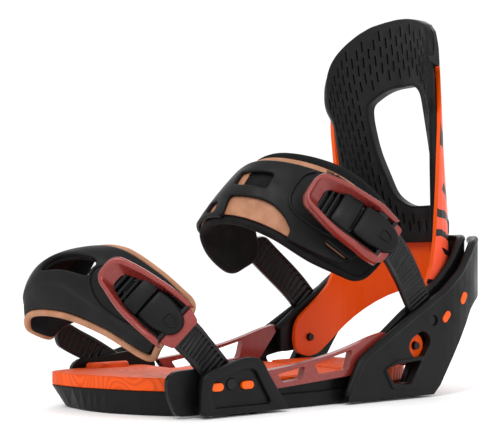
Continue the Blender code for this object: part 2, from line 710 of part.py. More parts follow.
# ---------------------------------------------------------------- buckles


def local_frame(place, along, across):
    """The matrix whose X runs along the strap towards its lower end, Y across it, and Z out of it."""
    x = Vector(along).normalized()
    z = x.cross(Vector(across)).normalized()
    y = z.cross(x)
    matrix = Matrix((x, y, z)).transposed().to_4x4()
    return Matrix.Translation(place) @ matrix


def trapezoid_ring(size, top_width, foot_width, bar):
    """Outer and inner outline of the lever's loop, which is narrower at its free end."""
    outer = [(-size, -top_width / 2), (-size, top_width / 2), (3, foot_width / 2), (3, -foot_width / 2)]
    inner = [
        (-size + bar, -top_width / 2 + bar),
        (-size + bar, top_width / 2 - bar),
        (-5, foot_width / 2 - bar),
        (-5, -foot_width / 2 + bar),
    ]
    return in_mm(*outer), in_mm(*inner)


def make_buckle(prefix, frame, size, top_width, foot_width, width, strap_hinge):
    """A ratchet buckle. Its lever, a metal loop, turns about the axle at its lower end and drives the pawl on
    the ladder's teeth. The release lever at the lower end lifts the pawl off them."""
    channel_width = width + 4.4 * mm
    bar = 4.6

    def placed(name, mesh, finish, parent):
        mesh.transform(frame)
        return add(name, mesh, finish, parent)

    base = placed(
        f"{prefix}_buckle_base",
        box_mesh("base", (-38 * mm, -channel_width / 2, -1.6 * mm), (1 * mm, channel_width / 2, 5.2 * mm)),
        "black_nylon",
        strap_hinge,
    )
    channel = box_mesh("channel", (-50 * mm, -width / 2 - 0.5 * mm, -0.2 * mm), (20 * mm, width / 2 + 0.4 * mm, 20 * mm))
    channel.transform(frame)
    cut(base, add_cutter(f"{prefix}_channel", channel))
    axle_start = frame @ Vector((-3 * mm, -channel_width / 2 - 2.4 * mm, 7.9 * mm))
    axle_end = frame @ Vector((-3 * mm, channel_width / 2 + 2.4 * mm, 7.9 * mm))
    bore_start = axle_start + (axle_start - axle_end) * 0.1
    bore_end = axle_end + (axle_end - axle_start) * 0.1
    for which, sign in (("front", -1), ("rear", 1)):
        y = sign * (channel_width / 2 - 1.1 * mm)
        cheek = rod_mesh("cheek", (-3 * mm, y - 0.9 * mm, 7.9 * mm), (-3 * mm, y + 0.9 * mm, 7.9 * mm), 3.6 * mm)
        cheek.transform(frame)
        join(base, add_cutter(f"{prefix}_{which}_cheek", cheek))
    bore = rod_mesh("bore", bore_start, bore_end, 2 * mm, segments=12)
    bore_cutter = add_cutter(f"{prefix}_axle_bore", bore)
    cut(base, bore_cutter)
    add(f"{prefix}_buckle_axle", rod_mesh("axle", axle_start, axle_end, 1.5 * mm, segments=12), "steel", strap_hinge)

    lever_hinge = joint_empty(f"{prefix}_lever_hinge", frame @ Vector((-3 * mm, 0, 7.9 * mm)))
    outer, inner = trapezoid_ring(size, top_width, foot_width, bar)
    lever = placed(
        f"{prefix}_buckle_lever",
        plate_mesh("lever", rounded(outer, 6 * mm, 4), 5 * mm, "Z", 5.4 * mm),
        "red_metal",
        lever_hinge,
    )
    opening = plate_mesh("opening", rounded(inner, 3 * mm, 3), 20 * mm, "Z", -3 * mm)
    opening.transform(frame)
    cut(lever, add_cutter(f"{prefix}_lever_opening", opening))
    room = box_mesh(
        "room", (-7.5 * mm, -channel_width / 2 - 0.4 * mm, -2 * mm), (10 * mm, channel_width / 2 + 0.4 * mm, 20 * mm)
    )
    room.transform(frame)
    cut(lever, add_cutter(f"{prefix}_lever_room", room))
    cut(lever, bore_cutter)
    bevel(lever, 0.8 * mm)

    pawl = placed(
        f"{prefix}_drive_pawl",
        box_mesh("pawl", (-15 * mm, -width / 2 + 1 * mm, 4.9 * mm), (-8 * mm, width / 2 - 1 * mm, 7.6 * mm)),
        "steel",
        lever_hinge,
    )
    bevel(pawl, 0.6 * mm)

    release_hinge = joint_empty(f"{prefix}_release_hinge", frame @ Vector((-3 * mm, 0, 7.9 * mm)))
    half = width / mm / 2
    shape = rounded(in_mm((-7, -half), (-7, half), (9, half), (15, half - 5), (15, -half + 5), (9, -half)), 2.5 * mm)
    release = placed(
        f"{prefix}_release_lever",
        plate_mesh("release", shape, 5.4 * mm, "Z", 5.2 * mm),
        "black_nylon",
        release_hinge,
    )
    cut(release, bore_cutter)
    bevel(release, 0.8 * mm)
    return lever_hinge, release_hinge


def make_ladder(name, frame, run, low_side, width, hinge):
    """The toothed strap: straight through the buckle's channel, then down along run to its bolt."""
    channel = [tuple(frame @ Vector((x * mm, 0, 1.9 * mm)) / mm) for x in (-36, -24, -12, 0, 4)]
    upper_side = tuple(frame.to_3x3() @ Vector((0, 1, 0)))
    band = ribbon([*channel, *run], [upper_side] * len(channel) + [low_side] * len(run), width)
    return sheet(name, band, -strap_thickness / 2, strap_thickness, "black_nylon", hinge)


def strap_bolt(name, place, sign):
    """The bolt that holds a strap's end, between the hoop and the heel panel or between the toe block's walls."""
    x0, x1 = strap_plane_x - 5.6 * mm, strap_plane_x + 5.4 * mm
    mesh = rod_mesh("bolt", (x0, place.y, place.z), (x1, place.y, place.z), screw_bit, segments=20)
    return add(name, mesh if sign > 0 else flip_x(mesh), "steel")


def bolt_seat(bolt, objects):
    """A hole for the bolt in each of the objects that it passes through."""
    centre = sum((Vector(v.co) for v in bolt.data.vertices), Vector()) / len(bolt.data.vertices)
    room = rod_mesh(
        "seat", centre - Vector((12 * mm, 0, 0)), centre + Vector((12 * mm, 0, 0)), screw_bit + gap, segments=20
    )
    cutter = add_cutter(f"{bolt.name}_seat", room)
    for obj in objects:
        cut(obj, cutter)


# ---------------------------------------------------------------- main
clear_scene()
parts = new_collection("snowboard_binding")
cutters = new_collection("cutters")
make_base_plate()
make_toe_ramp()
make_disc()
make_foot_pads()
make_rails()
make_toe_blocks()
make_hoop()
make_heel_panels()
highback_hinge = joint_empty("highback_hinge", highback_pivot)
ankle_hinge = joint_empty("ankle_hinge", ankle_pin)
toe_hinge = joint_empty("toe_hinge", toe_pin)
make_highback(highback_hinge)
make_lean_block(highback_hinge)
make_ankle_strap(ankle_hinge)
make_toe_strap(toe_hinge)

ankle_frame = local_frame(Vector((55.2, 61, 95.2)) * mm, (0.38, 0.72, -0.59), (0, 0.63, 0.777))
make_buckle("ankle", ankle_frame, 58, 21, 33, ladder_width, ankle_hinge)
toe_frame = local_frame(Vector((53, -88.5, 48)) * mm, (0.64, 0.44, -0.62), (0.3, 0.58, 0.76))
make_buckle("toe", toe_frame, 52, 20, 31, toe_ladder_width, toe_hinge)
ankle_ladder_hinge = joint_empty("ankle_ladder_hinge", ankle_pin)
toe_ladder_hinge = joint_empty("toe_ladder_hinge", toe_pin)
ankle_run = [(53.4, 77, 76.5), (52.9, 86, 62), (52.9, 96, 46), (52.9, 99.2, 40.6)]
ankle_ladder = make_ladder("ankle_ladder", ankle_frame, ankle_run, (0, 0.85, 0.53), ladder_width, ankle_ladder_hinge)
toe_run = [(53.6, -78, 38), (52.9, -68, 28), (52.9, -58, 17), (52.9, -53.8, 12.2)]
toe_ladder = make_ladder("toe_ladder", toe_frame, toe_run, (0, 0.75, 0.66), toe_ladder_width, toe_ladder_hinge)
objects = bpy.data.objects
for name, sign in sides:
    ankle_end = ankle_ladder if sign > 0 else objects["ankle_connector"]
    bolt = strap_bolt(f"{name}_ankle_bolt", ankle_pin, sign)
    bolt_seat(bolt, [ankle_end, objects["heel_hoop"], objects[f"{name}_heel_panel"]])
    toe_end = toe_ladder if sign > 0 else objects["toe_connector"]
    bolt = strap_bolt(f"{name}_toe_bolt", toe_pin, sign)
    bolt_seat(bolt, [toe_end, objects[f"{name}_toe_block"]])
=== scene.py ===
import json
import math

import bmesh
import bpy
import numpy as np
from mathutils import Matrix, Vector
from mathutils.geometry import delaunay_2d_cdt

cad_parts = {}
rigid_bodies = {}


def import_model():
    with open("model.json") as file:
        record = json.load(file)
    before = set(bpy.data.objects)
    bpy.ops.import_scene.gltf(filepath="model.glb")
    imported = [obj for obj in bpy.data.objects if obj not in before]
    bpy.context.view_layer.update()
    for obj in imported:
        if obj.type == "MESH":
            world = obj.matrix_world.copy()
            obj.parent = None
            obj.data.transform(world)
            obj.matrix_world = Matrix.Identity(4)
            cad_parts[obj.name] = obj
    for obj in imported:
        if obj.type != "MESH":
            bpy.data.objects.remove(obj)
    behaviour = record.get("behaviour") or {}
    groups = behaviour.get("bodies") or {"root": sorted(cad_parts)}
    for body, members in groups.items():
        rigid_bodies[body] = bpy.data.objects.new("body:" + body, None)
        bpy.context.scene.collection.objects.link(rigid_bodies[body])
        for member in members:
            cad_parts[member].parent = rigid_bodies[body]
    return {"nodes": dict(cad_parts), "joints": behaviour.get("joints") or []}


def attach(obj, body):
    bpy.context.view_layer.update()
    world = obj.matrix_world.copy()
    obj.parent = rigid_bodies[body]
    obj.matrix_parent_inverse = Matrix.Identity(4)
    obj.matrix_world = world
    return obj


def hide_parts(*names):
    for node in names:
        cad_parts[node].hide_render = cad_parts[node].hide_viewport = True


for leftover in list(bpy.data.objects):
    bpy.data.objects.remove(leftover)
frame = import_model()
bpy.context.view_layer.update()
nodes = frame["nodes"]
mm = 0.001
print("frame loaded:", len(nodes), "CAD nodes")


# camera, floor and light
view = {"azimuth": 52, "distance": 0.767, "height": 0.089, "lens": 92.0, "shiftY": 0.062}
studio = {"sky": (1.0, 1.0, 1.0), "skyStrength": 1.05, "floor": (0.97, 0.97, 0.97), "floorRadius": 3.0}
lamps = [
    # name, place, size, watts
    ("keyLamp", (0.5, -1.2, 1.5), 0.7, 12),
    ("sideLamp", (1.5, -0.1, 0.9), 0.5, 4),
    ("backLamp", (-0.8, 1.0, 1.2), 0.9, 6),
]


def makeCamera():
    turn = math.radians(view["azimuth"])
    data = bpy.data.cameras.new("camera")
    data.sensor_width = 36
    data.lens = view["lens"]
    data.shift_y = view["shiftY"]
    camera = bpy.data.objects.new("camera", data)
    camera.location = (view["distance"] * math.sin(turn), -view["distance"] * math.cos(turn), view["height"])
    camera.rotation_euler = (math.pi / 2, 0, turn)
    bpy.context.scene.collection.objects.link(camera)
    bpy.context.scene.camera = camera


def makeStudio():
    world = bpy.data.worlds.new("studioSky")
    world.use_nodes = True
    sky = world.node_tree.nodes["Background"]
    sky.inputs["Color"].default_value = (*studio["sky"], 1)
    sky.inputs["Strength"].default_value = studio["skyStrength"]
    bpy.context.scene.world = world
    for name, place, size, watts in lamps:
        data = bpy.data.lights.new(name, "AREA")
        data.size = size
        data.energy = watts
        lamp = bpy.data.objects.new(name, data)
        lamp.location = place
        lamp.rotation_euler = (Vector((0, 0, 0.08)) - Vector(place)).to_track_quat("-Z", "Y").to_euler()
        bpy.context.scene.collection.objects.link(lamp)
    bpy.context.scene.view_settings.view_transform = "Standard"


# shader maths
class Wire:
    # a node socket, with Python's operators as Math nodes
    def __init__(self, kit, socket):
        self.kit = kit
        self.socket = socket

    def combine(self, operation, first, second):
        return self.kit.node("Math", {"operation": operation}, {0: first, 1: second})

    def __add__(self, other):
        return self.combine("ADD", self, other)

    __radd__ = __add__

    def __sub__(self, other):
        return self.combine("SUBTRACT", self, other)

    def __rsub__(self, other):
        return self.combine("SUBTRACT", other, self)

    def __mul__(self, other):
        return self.combine("MULTIPLY", self, other)

    __rmul__ = __mul__

    def __lt__(self, other):
        return self.combine("LESS_THAN", self, other)

    def __gt__(self, other):
        return self.combine("GREATER_THAN", self, other)


class Shading:
    # one material, its Principled shader and a method that adds any node
    def __init__(self, name, color, roughness, metallic=0.0, **sockets):
        self.material = bpy.data.materials.new(name)
        self.material.use_nodes = True
        self.tree = self.material.node_tree
        self.shader = self.tree.nodes["Principled BSDF"]
        self.feed("Base Color", (*color, 1))
        self.feed("Roughness", roughness)
        self.feed("Metallic", metallic)
        for socket, value in sockets.items():
            self.feed(socket, value)

    def link(self, socket, value):
        if isinstance(value, Wire):
            self.tree.links.new(value.socket, socket)
        else:
            socket.default_value = value

    def feed(self, socket, value):
        self.link(self.shader.inputs[socket], value)

    def node(self, kind, settings=None, inputs=None, output=0):
        made = self.tree.nodes.new("ShaderNode" + kind)
        for key, value in (settings or {}).items():
            setattr(made, key, value)
        for key, value in (inputs or {}).items():
            self.link(made.inputs[key], value)
        return Wire(self, made.outputs[output])

    def place(self):
        return self.node("TexCoord", output="Object")

    def parts(self, vector):
        # the x, y and z of a vector
        split = self.node("SeparateXYZ", None, {"Vector": vector}).socket.node
        return [Wire(self, socket) for socket in split.outputs]

    def noise(self, scale, detail=3.0, stretch=(1, 1, 1)):
        spot = self.node("Mapping", None, {"Vector": self.place(), "Scale": stretch})
        return self.node("TexNoise", None, {"Vector": spot, "Scale": scale, "Detail": detail})

    def mix(self, factor, first, second):
        # sockets 6 and 7 are the node's two colours
        colors = {6: first, 7: second}
        sockets = {key: color if isinstance(color, Wire) else (*color, 1) for key, color in colors.items()}
        return self.node("Mix", {"data_type": "RGBA"}, {0: factor, **sockets}, output=2)

    def spread(self, value, low, high, toLow=0.0, toHigh=1.0):
        return self.node("MapRange", None, {0: value, 1: low, 2: high, 3: toLow, 4: toHigh})

    def bump(self, height, strength, distance, under=None):
        sockets = {"Height": height, "Strength": strength, "Distance": distance}
        if under is not None:
            sockets["Normal"] = under
        made = self.node("Bump", None, sockets)
        self.feed("Normal", made)
        return made


# finishes
def srgb(*channels):
    return tuple(((c / 255 + 0.055) / 1.055) ** 2.4 if c > 10 else c / 255 / 12.92 for c in channels)


def wear(shading, color, darker, roughness, amount=0.12, scale=60):
    # blotches: noise mixes the colour with a darker one and moves the roughness a little
    blotch = shading.noise(scale, 4)
    shading.feed("Base Color", shading.mix(shading.spread(blotch, 0.35, 0.7), color, darker))
    shading.feed("Roughness", shading.spread(blotch, 0.3, 0.7, roughness - amount, roughness + amount))


def plastic(name, color, darker, roughness, grain=900, depth=0.06, edge=0.5, shine=0.2):
    # moulded plastic: a fine spark-eroded grain and softly rounded edges
    shading = Shading(name, color, roughness, **{"Specular IOR Level": shine})
    wear(shading, color, darker, roughness)
    edges = shading.node("Bevel", {"samples": 4}, {"Radius": edge * mm}) if edge else None
    shading.bump(shading.noise(grain, 2), depth, 0.4 * mm, edges)
    return shading


backPrint = {
    "centre": (-0.004, 0.075), "clear": 0.018,  # where the strokes fan out from, and how far it stays plain
    "strokes": 34.0, "ragged": 2.5, "breaks": 210.0, "slant": 9.0, "rimHeight": 0.203,
    "orange": srgb(228, 80, 1), "coral": srgb(238, 84, 52), "ink": srgb(18, 18, 19), "rim": srgb(22, 22, 24),
}


def printedBack():
    # the highback: orange in front. Its back is coral with black strokes: the sine of the angle round a centre
    # low on the spine, broken up by the sine of the distance from it. Its upper rim is black.
    printed = plastic("printedShell", backPrint["orange"], srgb(214, 66, 1), 0.4, 1100, 0.04, shine=0.2)
    facingX, facingBack, _ = printed.parts(printed.node("NewGeometry", output="Normal"))
    x, _, z = printed.parts(printed.place())
    sideways, height = x - backPrint["centre"][0], z - backPrint["centre"][1]
    fan = printed.node("Math", {"operation": "ARCTAN2"}, {0: sideways, 1: height})
    reach = printed.node("Math", {"operation": "SQRT"}, {0: sideways * sideways + height * height})
    waves = fan * backPrint["strokes"] + printed.noise(70, 2) * backPrint["ragged"]
    stroke = printed.node("Math", {"operation": "SINE"}, {0: waves})
    breaks = reach * backPrint["breaks"] + fan * backPrint["slant"]
    broken = printed.node("Math", {"operation": "SINE"}, {0: breaks})
    ink = (stroke > 0.45) * (broken > -0.25) * (reach > backPrint["clear"])
    back = printed.node("Math", {"operation": "MAXIMUM"}, {0: facingBack > 0.25, 1: facingX * x > 0.008})
    plain = printed.mix(back, backPrint["orange"], printed.mix(ink, backPrint["coral"], backPrint["ink"]))
    rim = (z > backPrint["rimHeight"]) * (facingBack < 0.6)
    printed.feed("Base Color", printed.mix(rim, plain, backPrint["rim"]))
    return printed


def makeFinishes():
    made = {}
    made["black_nylon"] = plastic("mouldedNylon", srgb(15, 15, 16), srgb(11, 11, 12), 0.4, shine=0.17)
    made["black_ladder"] = plastic("ladderPlastic", srgb(17, 17, 19), srgb(12, 12, 13), 0.34, 700, 0.03, 0, 0.25)
    made["black_rubber"] = plastic("softRubber", srgb(17, 17, 18), srgb(12, 12, 13), 0.46, 1200, 0.08, 0, 0.17)

    pad = Shading("foamCover", srgb(20, 20, 21), 0.72, **{"Specular IOR Level": 0.15})
    weave = pad.node("TexVoronoi", None, {"Vector": pad.place(), "Scale": 1400.0})
    wear(pad, srgb(21, 21, 22), srgb(13, 13, 14), 0.72, 0.08, 90)
    pad.bump(weave, 0.25, 0.3 * mm)
    made["black_padding"] = pad

    made["orange_shell"] = plastic("orangeShell", srgb(228, 80, 1), srgb(214, 66, 1), 0.4, 1100, 0.04, shine=0.2)
    made["printed_shell"] = printedBack()

    footbed = Shading("orangeFootbed", srgb(236, 84, 4), 0.5, **{"Specular IOR Level": 0.25})
    wander = footbed.noise(16, 2, (1, 0.3, 1))
    lines = footbed.node("Math", {"operation": "SINE"}, {0: wander * 330.0})
    tint = footbed.spread(lines, 0.1, 1.0, 0.0, 0.45)
    footbed.feed("Base Color", footbed.mix(tint, srgb(226, 80, 1), srgb(168, 48, 1)))
    footbed.bump(lines, 0.5, 0.35 * mm, footbed.node("Bevel", {"samples": 4}, {"Radius": 1.2 * mm}))
    made["orange_footbed"] = footbed
    made["orange_pin"] = plastic("orangePin", srgb(240, 98, 6), srgb(226, 80, 3), 0.36, 900, 0.03, 0.8, 0.3)

    red = Shading("redMetal", srgb(150, 42, 36), 0.4, 0.35, **{"Coat Weight": 0.5, "Coat Roughness": 0.14})
    speck = red.noise(2600, 2)
    red.feed("Base Color", red.mix(red.spread(speck, 0.4, 0.68), srgb(112, 27, 21), srgb(152, 52, 44)))
    red.feed("Roughness", red.spread(speck, 0.3, 0.7, 0.34, 0.5))
    red.bump(speck, 0.12, 0.2 * mm, red.node("Bevel", {"samples": 4}, {"Radius": 0.7 * mm}))
    made["red_metal"] = red

    tan = Shading("tanLeather", srgb(168, 116, 84), 0.58)
    grain = tan.node("TexVoronoi", {"feature": "DISTANCE_TO_EDGE"}, {"Vector": tan.place(), "Scale": 750.0})
    wear(tan, srgb(172, 119, 86), srgb(150, 100, 70), 0.58, 0.08, 120)
    tan.bump(grain, 0.35, 0.4 * mm)
    made["tan_leather"] = tan

    steel = Shading("zincSteel", srgb(176, 178, 182), 0.34, 1.0)
    brushed = steel.noise(900, 2, (1, 1, 0.08))
    steel.feed("Roughness", steel.spread(brushed, 0.3, 0.7, 0.26, 0.44))
    made["steel"] = steel
    dark = Shading("blackenedSteel", srgb(30, 30, 32), 0.38, 0.7)
    dark.feed("Roughness", dark.spread(dark.noise(800, 2), 0.3, 0.7, 0.3, 0.48))
    made["dark_steel"] = dark
    return made


def paintNodes(made):
    for name, obj in nodes.items():
        for index, slot in enumerate(obj.material_slots):
            finish = "printed_shell" if name == "highback_shell" else slot.material.name
            finish = "dark_steel" if name.endswith(("_bolt", "_pawl")) else finish
            obj.data.materials[index] = made[finish].material


makeCamera()
makeStudio()
finishes = makeFinishes()
paintNodes(finishes)
print("camera, studio and", len(finishes), "finishes made")


# surfaces
def smoothCurve(points, count):
    # a Catmull-Rom curve through the points, read at count equal steps of its length
    points = np.array(points, float)
    ends = np.concatenate([[2 * points[0] - points[1]], points, [2 * points[-1] - points[-2]]])
    t = np.linspace(0, 1, 24, endpoint=False)[:, None]
    before, start, stop, after = (ends[i:len(ends) - 3 + i, None] for i in range(4))
    fine = 0.5 * (
        2 * start + (stop - before) * t + (2 * before - 5 * start + 4 * stop - after) * t**2
        + (3 * start - before - 3 * stop + after) * t**3
    )
    fine = np.concatenate([fine.reshape(-1, points.shape[1]), points[-1:]])
    length = np.concatenate([[0], np.cumsum(np.linalg.norm(np.diff(fine[:, :3], axis=0), axis=1))])
    steps = np.linspace(0, length[-1], count)
    return np.stack([np.interp(steps, length, column) for column in fine.T], axis=1)


def lengthened(curve, extra):
    # the curve with extra points at both ends, on in a straight line
    more = np.arange(1, extra + 1)[:, None]
    head = curve[0] - (curve[1] - curve[0]) * more[::-1]
    tail = curve[-1] + (curve[-1] - curve[-2]) * more
    return np.concatenate([head, curve, tail])


def gridNormals(grid):
    normals = np.cross(np.gradient(grid, axis=0), np.gradient(grid, axis=1))
    return normals / np.linalg.norm(normals, axis=2, keepdims=True)


class Sheet:
    # a curved sheet read by (along, across, lift): along and across are 0 to 1 on the strap and may go a
    # little beyond, lift is mm off the sheet
    steps, extra = 96, 14

    def __init__(self, edges, build, across=(-0.4, 1.4)):
        curves = [lengthened(smoothCurve(edge, self.steps + 1), self.extra) for edge in edges]
        self.across = across
        t = np.linspace(*across, 73)[None, :, None]
        self.grid = build(curves, t)
        self.normals = gridNormals(self.grid)

    def at(self, flat, lift):
        # bilinear reading of the grid and of its normals
        flat = np.asarray(flat, float)
        rows, columns = self.grid.shape[:2]
        i = np.clip(flat[..., 0] * self.steps + self.extra, 0, rows - 1.001)
        share = (flat[..., 1] - self.across[0]) / (self.across[1] - self.across[0])
        j = np.clip(share * (columns - 1), 0, columns - 1.001)
        i0, j0 = i.astype(int), j.astype(int)
        a, b = (i - i0)[..., None], (j - j0)[..., None]

        def read(table):
            low = table[i0, j0] * (1 - b) + table[i0, j0 + 1] * b
            high = table[i0 + 1, j0] * (1 - b) + table[i0 + 1, j0 + 1] * b
            return low * (1 - a) + high * a

        return (read(self.grid) + read(self.normals) * np.asarray(lift, float)[..., None]) * mm


def crowned(crown):
    # straight between the front and rear edge, plus a parabola that stands crown mm proud midway
    def build(curves, t):
        front, rear = curves
        grid = front[:, None] * (1 - t) + rear[:, None] * t
        return grid + gridNormals(grid) * (crown * 4 * t * (1 - t))

    return build


def bowed(curves, t):
    # a parabola through the front, middle and rear edge curves
    front, middle, rear = curves
    return (front[:, None] * (1 - t) * (1 - 2 * t) + middle[:, None] * 4 * t * (1 - t)
            + rear[:, None] * t * (2 * t - 1))


class Flat:
    # a plane with its own origin and directions, read like a Sheet but in mm
    def __init__(self, origin, along, across, out):
        self.origin, self.along, self.across, self.out = (np.array(v, float) for v in (origin, along, across, out))

    def at(self, flat, lift):
        flat = np.asarray(flat, float)
        lift = np.broadcast_to(np.asarray(lift, float), flat.shape[:-1])
        return (self.origin + flat[..., :1] * self.along + flat[..., 1:2] * self.across
                + lift[..., None] * self.out) * mm


# meshes
def addPiece(name, points, faces, body, slot, smooth=40, finish=None):
    mesh = bpy.data.meshes.new(name)
    mesh.from_pydata(np.asarray(points).reshape(-1, 3).tolist(), [], [tuple(map(int, f)) for f in faces])
    mesh.update()
    mesh.materials.append((finish or finishes[slot]).material)
    if smooth:
        mesh.shade_smooth()
        mesh.set_sharp_from_angle(angle=math.radians(smooth))
    obj = bpy.data.objects.new(name, mesh)
    bpy.context.scene.collection.objects.link(obj)
    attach(obj, body)
    return obj


def loopFaces(rings, count, closed=True):
    # quads between neighbouring rings of count points each
    i = np.arange(rings - 1)[:, None] * count
    j = np.arange(count if closed else count - 1)[None]
    k = (j + 1) % count
    return np.stack([i + j, i + k, i + count + k, i + count + j], axis=-1).reshape(-1, 4)


def roundedOutline(points, radius, step=1.0):
    # the polygon with each corner cut by a quadratic arc that starts radius from it, then evened out to
    # about step; a third number at a point is that corner's own radius
    flat = [tuple(p[:2]) for p in points]
    radii = [p[2] if len(p) > 2 else radius for p in points]
    count = len(flat)
    out = []
    for i in range(count):
        corner = np.array(flat[i])
        before, after = np.array(flat[i - 1]) - corner, np.array(flat[(i + 1) % count]) - corner
        reach = min(radii[i], 0.48 * np.linalg.norm(before), 0.48 * np.linalg.norm(after))
        first = corner + before / np.linalg.norm(before) * reach
        last = corner + after / np.linalg.norm(after) * reach
        t = np.linspace(0, 1, 9)[:, None]
        out.append(first * (1 - t) ** 2 + 2 * corner * t * (1 - t) + last * t**2)
    ring = np.concatenate(out)
    ring = np.concatenate([ring, ring[:1]])
    length = np.concatenate([[0], np.cumsum(np.linalg.norm(np.diff(ring, axis=0), axis=1))])
    steps = np.linspace(0, length[-1], max(12, int(length[-1] / step)), endpoint=False)
    ring = np.stack([np.interp(steps, length, column) for column in ring.T], axis=1)
    area = (ring[:, 0] * np.roll(ring[:, 1], -1) - np.roll(ring[:, 0], -1) * ring[:, 1]).sum()
    return ring if area > 0 else ring[::-1]


def insetRing(ring, depth):
    # each point moved to the left of the outline's own direction
    run = np.roll(ring, -1, axis=0) - np.roll(ring, 1, axis=0)
    run /= np.maximum(np.linalg.norm(run, axis=1, keepdims=True), 1e-9)
    return ring + np.stack([-run[:, 1], run[:, 0]], axis=1) * depth


def insideRing(points, ring):
    # even-odd rule
    x, y = points[:, :1], points[:, 1:]
    ax, ay = ring.T
    bx, by = np.roll(ring, -1, axis=0).T
    crosses = (ay > y) != (by > y)
    at = ax + (y - ay) / np.where(by == ay, 1e-9, by - ay) * (bx - ax)
    return (crosses & (x < at)).sum(axis=1) % 2 == 1


def filled(rings, cell):
    # triangles between an outer ring and its holes, with a lattice of extra points cell apart inside
    low, high = rings[0].min(axis=0), rings[0].max(axis=0)
    lattice = np.stack(np.meshgrid(*(np.arange(a + cell / 2, b, cell) for a, b in zip(low, high))), -1).reshape(-1, 2)
    kept = insideRing(lattice, insetRing(rings[0], cell * 0.6))
    for hole in rings[1:]:
        kept &= ~insideRing(lattice, insetRing(hole, -cell * 0.6))
    points = np.concatenate([*rings, lattice[kept]])
    edges, start = [], 0
    for ring in rings:
        index = np.arange(len(ring))
        edges += (np.stack([index, (index + 1) % len(ring)], axis=1) + start).tolist()
        start += len(ring)
    made = delaunay_2d_cdt([Vector(p) for p in points.tolist()], edges, [], 0, 1e-6)
    spots = np.array([tuple(v) for v in made[0]])
    faces = np.array([f for f in made[2] if len(f) == 3])
    middle = spots[faces].mean(axis=1)
    keep = insideRing(middle, rings[0])
    for hole in rings[1:]:
        keep &= ~insideRing(middle, hole)
    faces = faces[keep]
    a, b, c = (spots[faces[:, i]] for i in range(3))
    flipped = (b - a)[:, 0] * (c - a)[:, 1] - (b - a)[:, 1] * (c - a)[:, 0] < 0
    faces[flipped] = faces[flipped][:, ::-1]
    return spots, faces


def plate(name, sheet, outline, profile, body, slot, holes=(), scale=(1, 1), cell=3.0, step=1.0, shape=None,
          holeProfile=None, **more):
    # a plate on a sheet. The outline is in mm, profile lists (inset from the outline, lift off the sheet)
    # from the underside round the edge to the top, and the holes have the same edge. scale turns mm into
    # the sheet's own units. shape(flat, lift) may change the lift over the plate.
    rings = [roundedOutline(outline, 3.0, step)] + [roundedOutline(hole, 2.0, step)[::-1] for hole in holes]
    points, faces, start = [], [], 0
    scale = np.array(scale, float)

    def raised(flat, lift):
        lift = np.full(len(flat), float(lift))
        return sheet.at(flat / scale, shape(flat, lift) if shape else lift)

    profiles = [profile] + [holeProfile or profile] * len(holes)
    for ring, edge in zip(rings, profiles):
        for inset, lift in edge:
            points.append(raised(insetRing(ring, inset), lift))
        faces.append(loopFaces(len(edge), len(ring)) + start)
        start += len(edge) * len(ring)
    for level, turn in ((-1, 1), (0, -1)):
        lift = profile[level][1]
        spots, cover = filled([insetRing(ring, edge[level][0]) for ring, edge in zip(rings, profiles)], cell)
        points.append(raised(spots, lift))
        faces.append(cover[:, ::turn] + start)
        start += len(spots)
    obj = addPiece(name, np.concatenate(points), [f for group in faces for f in group.tolist()], body, slot, **more)
    weld(obj)
    return obj


def weld(obj, reach=0.01 * mm):
    # points closer than reach become one, and faces without area go
    shape = bmesh.new()
    shape.from_mesh(obj.data)
    bmesh.ops.remove_doubles(shape, verts=shape.verts, dist=reach)
    bmesh.ops.dissolve_degenerate(shape, edges=shape.edges, dist=1e-6)
    shape.to_mesh(obj.data)
    shape.free()


def roundEdge(low, high, radius, steps=4):
    # a plate's side: up from low, then a quarter circle of that radius onto the top
    turn = np.linspace(0, math.pi / 2, steps + 1)
    top = [(radius * (1 - math.cos(a)), high - radius + radius * math.sin(a)) for a in turn]
    return [(radius * 0.5, low), (0, low + radius * 0.5), *top]


def tube(name, path, radii, body, slot, sides=14, squash=1.0, out=None, **more):
    # a round or oval section carried along the path, with a rounded cap at each end
    path = np.asarray(path, float)
    run = np.gradient(path, axis=0)
    run /= np.linalg.norm(run, axis=1, keepdims=True)
    out = np.broadcast_to(np.array((0, 0, 1.0)) if out is None else out, path.shape)
    side = np.cross(run, out)
    side /= np.linalg.norm(side, axis=1, keepdims=True)
    up = np.cross(side, run)
    radii = np.broadcast_to(np.asarray(radii, float), len(path))
    turn = np.linspace(0, 2 * math.pi, sides, endpoint=False)
    cap = np.sin(np.linspace(0, math.pi / 2, 5))[:-1]
    ease = np.cos(np.linspace(0, math.pi / 2, 5))[:-1]
    centres = np.concatenate([path[0] - run[0] * radii[0] * ease[:, None], path,
                              path[-1] + run[-1] * radii[-1] * ease[::-1, None]])
    sizes = np.concatenate([radii[0] * cap, radii, radii[-1] * cap[::-1]])
    sides3 = np.concatenate([np.repeat(side[:1], 4, 0), side, np.repeat(side[-1:], 4, 0)])
    ups3 = np.concatenate([np.repeat(up[:1], 4, 0), up, np.repeat(up[-1:], 4, 0)])
    points = centres[:, None] + sizes[:, None, None] * (
        np.cos(turn)[None, :, None] * sides3[:, None] + squash * np.sin(turn)[None, :, None] * ups3[:, None])
    faces = loopFaces(len(centres), sides)[:, ::-1]
    obj = addPiece(name, points * mm, faces, body, slot, **more)
    weld(obj)
    return obj


